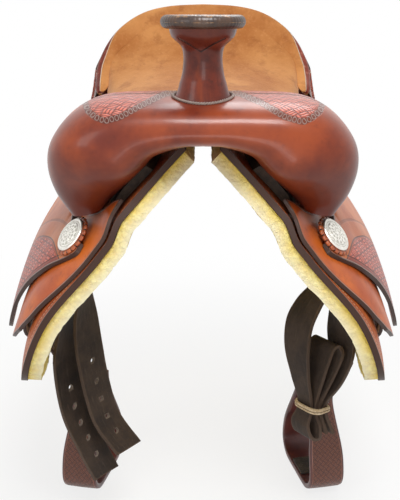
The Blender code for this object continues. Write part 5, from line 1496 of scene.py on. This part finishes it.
def makeStirrup(word, sign, material, rubber):
    side, body, along = word.capitalize(), f"stirrup_{word}_hanging", alongBolt(sign)
    frame = axesAt((sign * hang["x"], hang["slotY"], hang["boltZ"]), Vector((along.y, -along.x, 0.0)), along, up)
    top, wide, tall = stirrupSize["top"] / 2, stirrupSize["inside"] / 2, stirrupSize["height"]
    lift, soft = 0.012, 0.0006
    half = [(top, lift), (top + 0.001, -0.01), (top + 0.012, -0.04), (wide - 0.006, -0.075), (wide, -0.1),
            (wide - 0.003, -tall + lift + 0.012), (wide - 0.016, -tall + lift + 0.002), (wide - 0.036, -tall + lift),
            (0.0, -tall + lift)]
    path = [(0.0, -y, z) for y, z in half] + [(0.0, y, z) for y, z in half[:-1][::-1]]
    spots = [through(path, t) for t in steps(261)]
    run, rings, flat, outer, rim = 0.0, [], [], [], []
    for i, (spot, ahead) in enumerate(zip(spots, directions(spots))):
        away = Vector((0.0, ahead.z, -ahead.y)).normalized()
        run += (spot - spots[i - 1]).length if i else 0.0
        deep = mix(stirrupSize["depthTop"], stirrupSize["depthLow"], ease(-spot.z / 0.085)) / 2
        face = [(deep * (2 * a - 1), 1.0 + 0.05 * math.sin(math.pi * a)) for a in steps(15)]
        face[0], face[-1] = (-deep + soft, 0.93), (deep - soft, 0.93)
        back = [(deep * (1 - 2 * a), -0.05 * math.sin(math.pi * a)) for a in steps(11)]
        back[0], back[-1] = (deep - soft, 0.07), (-deep + soft, 0.07)
        sides = [(deep, 0.8), (deep + 0.0004, 0.5), (deep, 0.2)]
        loop = face + sides + back + [(-x, o) for x, o in sides[::-1]]
        rings.append([frame @ (spot + Vector((x, 0.0, 0.0)) + away * (stirrupSize["band"] * o)) for x, o in loop])
        flat += [(run, x) for x, o in loop]
        outer += [1.0] * len(face) + [0.0] * (len(loop) - len(face))
        rim += [deep - abs(x) for x, o in loop]
    piece = solidRings(f"stirrup{side}", rings, flat, {"outer": np.array(outer), "rim": np.array(rim)})
    r = stirrupSize["bore"]
    bore = [[frame @ Vector((r * math.cos(k), level, r * math.sin(k))) for k in angles(32)]
            for level in (-0.05, 0.05)]
    applyCut(piece, [solidRings("stirrupBore", bore)])
    dress(piece, material, [f"stirrup_{word}"], body)

    # the tread, ribbed across
    floor, long, deep = -tall + lift + soft, wide - 0.04, stirrupSize["depthLow"] / 2 - 0.0022

    def spot(b, a):
        y, x = mix(-long, long, a), mix(deep, -deep, b)
        rib = stirrupSize["rib"] * max(0.0, math.sin(a * math.pi * stirrupSize["ribs"])) ** 0.5
        over = floor + stirrupSize["tread"] + rib * (0.02 < a < 0.98) * (0.05 < b < 0.95)
        return frame @ Vector((x, y, over)), frame @ Vector((x, y, floor)), (y, mix(-deep, deep, b))

    tread = slab(f"stirrupTread{side}", *grids(81, 13, spot))
    dress(tread, rubber, [f"stirrup_tread_{word}"], body)


# dark maroon leather, finely stamped on its outer face
def stirrupMaterial():
    g = Graph("stirrupLeather")
    u, v = g.flat()
    broad, fine = g.noise(30.0, 4.0, 0.6), g.noise(160.0, 4.0, 0.65)
    face, rim = g.attribute("outer"), g.attribute("rim")
    inside, border = g.ramp(rim, 0.003, 0.004), g.band(rim, 0.003, 0.0003, 0.0005) * face
    relief = basketStamp(g, (u + v) * 0.707 + 1.0, (v - u) * 0.707 + 1.0, 0.0052) * inside
    field = face * inside
    colour = g.stain((0.055, 0.012, 0.012), (0.13, 0.03, 0.022), broad, 0.3, 0.7)
    colour = g.mix(colour, g.stain((0.04, 0.011, 0.008), (0.22, 0.068, 0.036), relief, 0.1, 0.95), field)
    colour = g.mix(colour, (0.4, 0.15, 0.09), border * 0.7)
    colour = g.stain(colour, (0.02, 0.007, 0.007), fine, 0.55, 0.8, 0.45)
    return g.finish(colour, 0.34 + broad * 0.14 + field * 0.1, relief * face + border + fine * 0.08, 0.3, 0.25)


def treadMaterial():
    g = Graph("treadLeather")
    grit = g.noise(520.0, 3.0, 0.7)
    colour = g.stain((0.03, 0.024, 0.02), (0.11, 0.085, 0.065), g.noise(60.0, 4.0, 0.6), 0.35, 0.75)
    colour = g.mix(colour, (0.012, 0.01, 0.009), g.ramp(grit, 0.5, 0.7) * 0.6)
    return g.done(colour, 0.82 + grit * 0.1, grit, 0.0005)


def steelMaterial(name):
    g = Graph(name)
    smear, line = g.noise(90.0, 4.0, 0.6), g.streaks(30.0, 3.0, 0.5, (1.0, 1.0, 30.0))
    colour = g.stain((0.62, 0.61, 0.59), (0.42, 0.4, 0.37), smear, 0.4, 0.72)
    return g.done(colour, 0.26 + smear * 0.2 + line * 0.1, line, 0.0002, Metallic=1.0)


# rawhide-covered tree wood, seen only from below
def woodMaterial():
    g = Graph("treeRawhide")
    grain, spots = g.streaks(22.0, 5.0, 0.6, (6.0, 1.0, 6.0)), g.noise(120.0, 4.0, 0.65)
    colour = g.stains((0.03, 0.018, 0.011), ((0.085, 0.052, 0.031), grain, 0.3, 0.7),
                      ((0.014, 0.009, 0.006), spots, 0.5, 0.78, 0.6))
    return g.done(colour, 0.58 + grain * 0.2, grain + spots * 0.4, 0.0009)


def makeHanging():
    tooled, maroon, tread = leather("fenderLeather", fenderLook), stirrupMaterial(), treadMaterial()
    strap = strapMaterial("stirrupStrapLeather", (0.105, 0.058, 0.036), (0.05, 0.026, 0.018))
    hobble = strapMaterial("hobbleLeather", (0.085, 0.045, 0.03), (0.04, 0.02, 0.015))
    metal = steelMaterial("buckleSteel")
    for word, sign in sideWords:
        makeLeather(word, sign, strap)
        makeFender(word, sign, tooled)
        makeHobble(word, sign, hobble, metal)
        makeStirrup(word, sign, maroon, tread)


# the CAD's own hidden or plain pieces keep their shapes and take on these materials
def dressKept():
    steel = steelMaterial("rollerSteel")
    kept = {("tree_",): woodMaterial(), ("ground_seat", "horn_core"): leather("groundLeather", groundLook),
            ("rigging_plate", "stirrup_bolt", "stirrup_roller"): steel}
    for thing in bpy.data.objects:
        for starts, material in kept.items():
            if thing.type == "MESH" and thing.name.startswith(starts):
                for slot in thing.material_slots:
                    slot.link, slot.material = "OBJECT", material


makeHanging()
dressKept()
print("stirrups and kept pieces")


# Stage, lights and camera: each lamp is its place, its power and its size
stagePlan = {"floorZ": -0.53, "floorHalf": 6, "floorColour": (0.82, 0.82, 0.82),
             "whitening": (0.45, 1.3, 0.8, 1.0),  # from and to how far out the floor goes from 0.8 to all white
             "worldColour": (1.0, 0.975, 0.94, 1.0), "worldStrength": 0.26, "aim": (0.0, 0.15, -0.15),
             "lamps": {"key": ((0.25, -1.2, 1.9), 46.0, 0.8), "fill": ((-1.5, -1.3, 0.7), 7.0, 0.8),
                       "rear": ((0.4, 1.9, 1.8), 26.0, 1.2), "under": ((0.1, -1.7, -0.25), 4.0, 0.6)}}
shownRays = ("Is Camera Ray", "Is Glossy Ray", "Is Transmission Ray")


# the floor: white to the camera and in reflections, but for the shadow near the saddle
def makeFloor():
    mesh = bpy.data.meshes.new("floor")
    half, level = stagePlan["floorHalf"], stagePlan["floorZ"]
    corners = [(x * half, y * half, level) for x, y in ((-1, -1), (1, -1), (1, 1), (-1, 1))]
    mesh.from_pydata(corners, [], [(0, 1, 2, 3)])
    g = Graph("paleFloor")
    camera, glossy, clear = [g.node("LightPath", {}, {}, ray) for ray in shownRays]
    g.done(stagePlan["floorColour"], 0.9, Specular_IOR_Level=0.1)
    white = g.node("Emission", {}, {"Color": (1.0, 1.0, 1.0), "Strength": 1.0})
    away = g.ramp(g.length(*g.parts(g.where(), 2)), *stagePlan["whitening"])
    seen = g.math("MAXIMUM", g.math("MAXIMUM", camera, glossy), clear)
    both = g.node("MixShader", {}, {0: seen * away, 1: Value(g, g.shader.outputs[0]), 2: white})
    g.feed(g.nodes["Material Output"].inputs["Surface"], both)
    mesh.materials.append(g.material)
    addThing("floor", mesh)


# the backdrop is white to the camera and in reflections, and a dimmer grey as a light
def makeWorld():
    world = bpy.data.worlds.new("studio")
    bpy.context.scene.world = world
    world.use_nodes = True
    nodes, link = world.node_tree.nodes, world.node_tree.links.new
    dim, bright = nodes["Background"], nodes.new("ShaderNodeBackground")
    white = ((1.0, 1.0, 1.0, 1.0), 1.0)
    for back, (colour, strength) in ((dim, (stagePlan["worldColour"], stagePlan["worldStrength"])), (bright, white)):
        back.inputs["Color"].default_value, back.inputs["Strength"].default_value = colour, strength
    path, chosen = nodes.new("ShaderNodeLightPath"), nodes.new("ShaderNodeMixShader")
    shown = path.outputs[shownRays[0]]
    for ray in shownRays[1:]:
        larger = nodes.new("ShaderNodeMath")
        larger.operation = "MAXIMUM"
        link(shown, larger.inputs[0])
        link(path.outputs[ray], larger.inputs[1])
        shown = larger.outputs[0]
    for k, source in enumerate((shown, dim.outputs[0], bright.outputs[0])):
        link(source, chosen.inputs[k])
    link(chosen.outputs[0], nodes["World Output"].inputs["Surface"])


def makeLights():
    for name, (spot, power, size) in stagePlan["lamps"].items():
        light = bpy.data.lights.new(name, "AREA")
        light.energy, light.size = power, size
        aim = Vector(stagePlan["aim"]) - Vector(spot)
        addThing(name, light, spot).rotation_euler = aim.to_track_quat("-Z", "Y").to_euler()


def makeCamera():
    camera = bpy.data.cameras.new("camera")
    camera.sensor_width = view["sensor"]
    camera.lens = view["focal"] * view["sensor"] / view["height"]
    camera.shift_x = -(view["middle"][0] - view["width"] / 2) / view["height"]
    eye = addThing("camera", camera, view["place"])
    eye.rotation_euler = (math.radians(90.0 - view["down"]), 0.0, 0.0)
    bpy.context.scene.camera = eye
    bpy.context.scene.view_settings.view_transform = "Standard"


makeFloor()
makeWorld()
makeLights()
makeCamera()
print("stage")
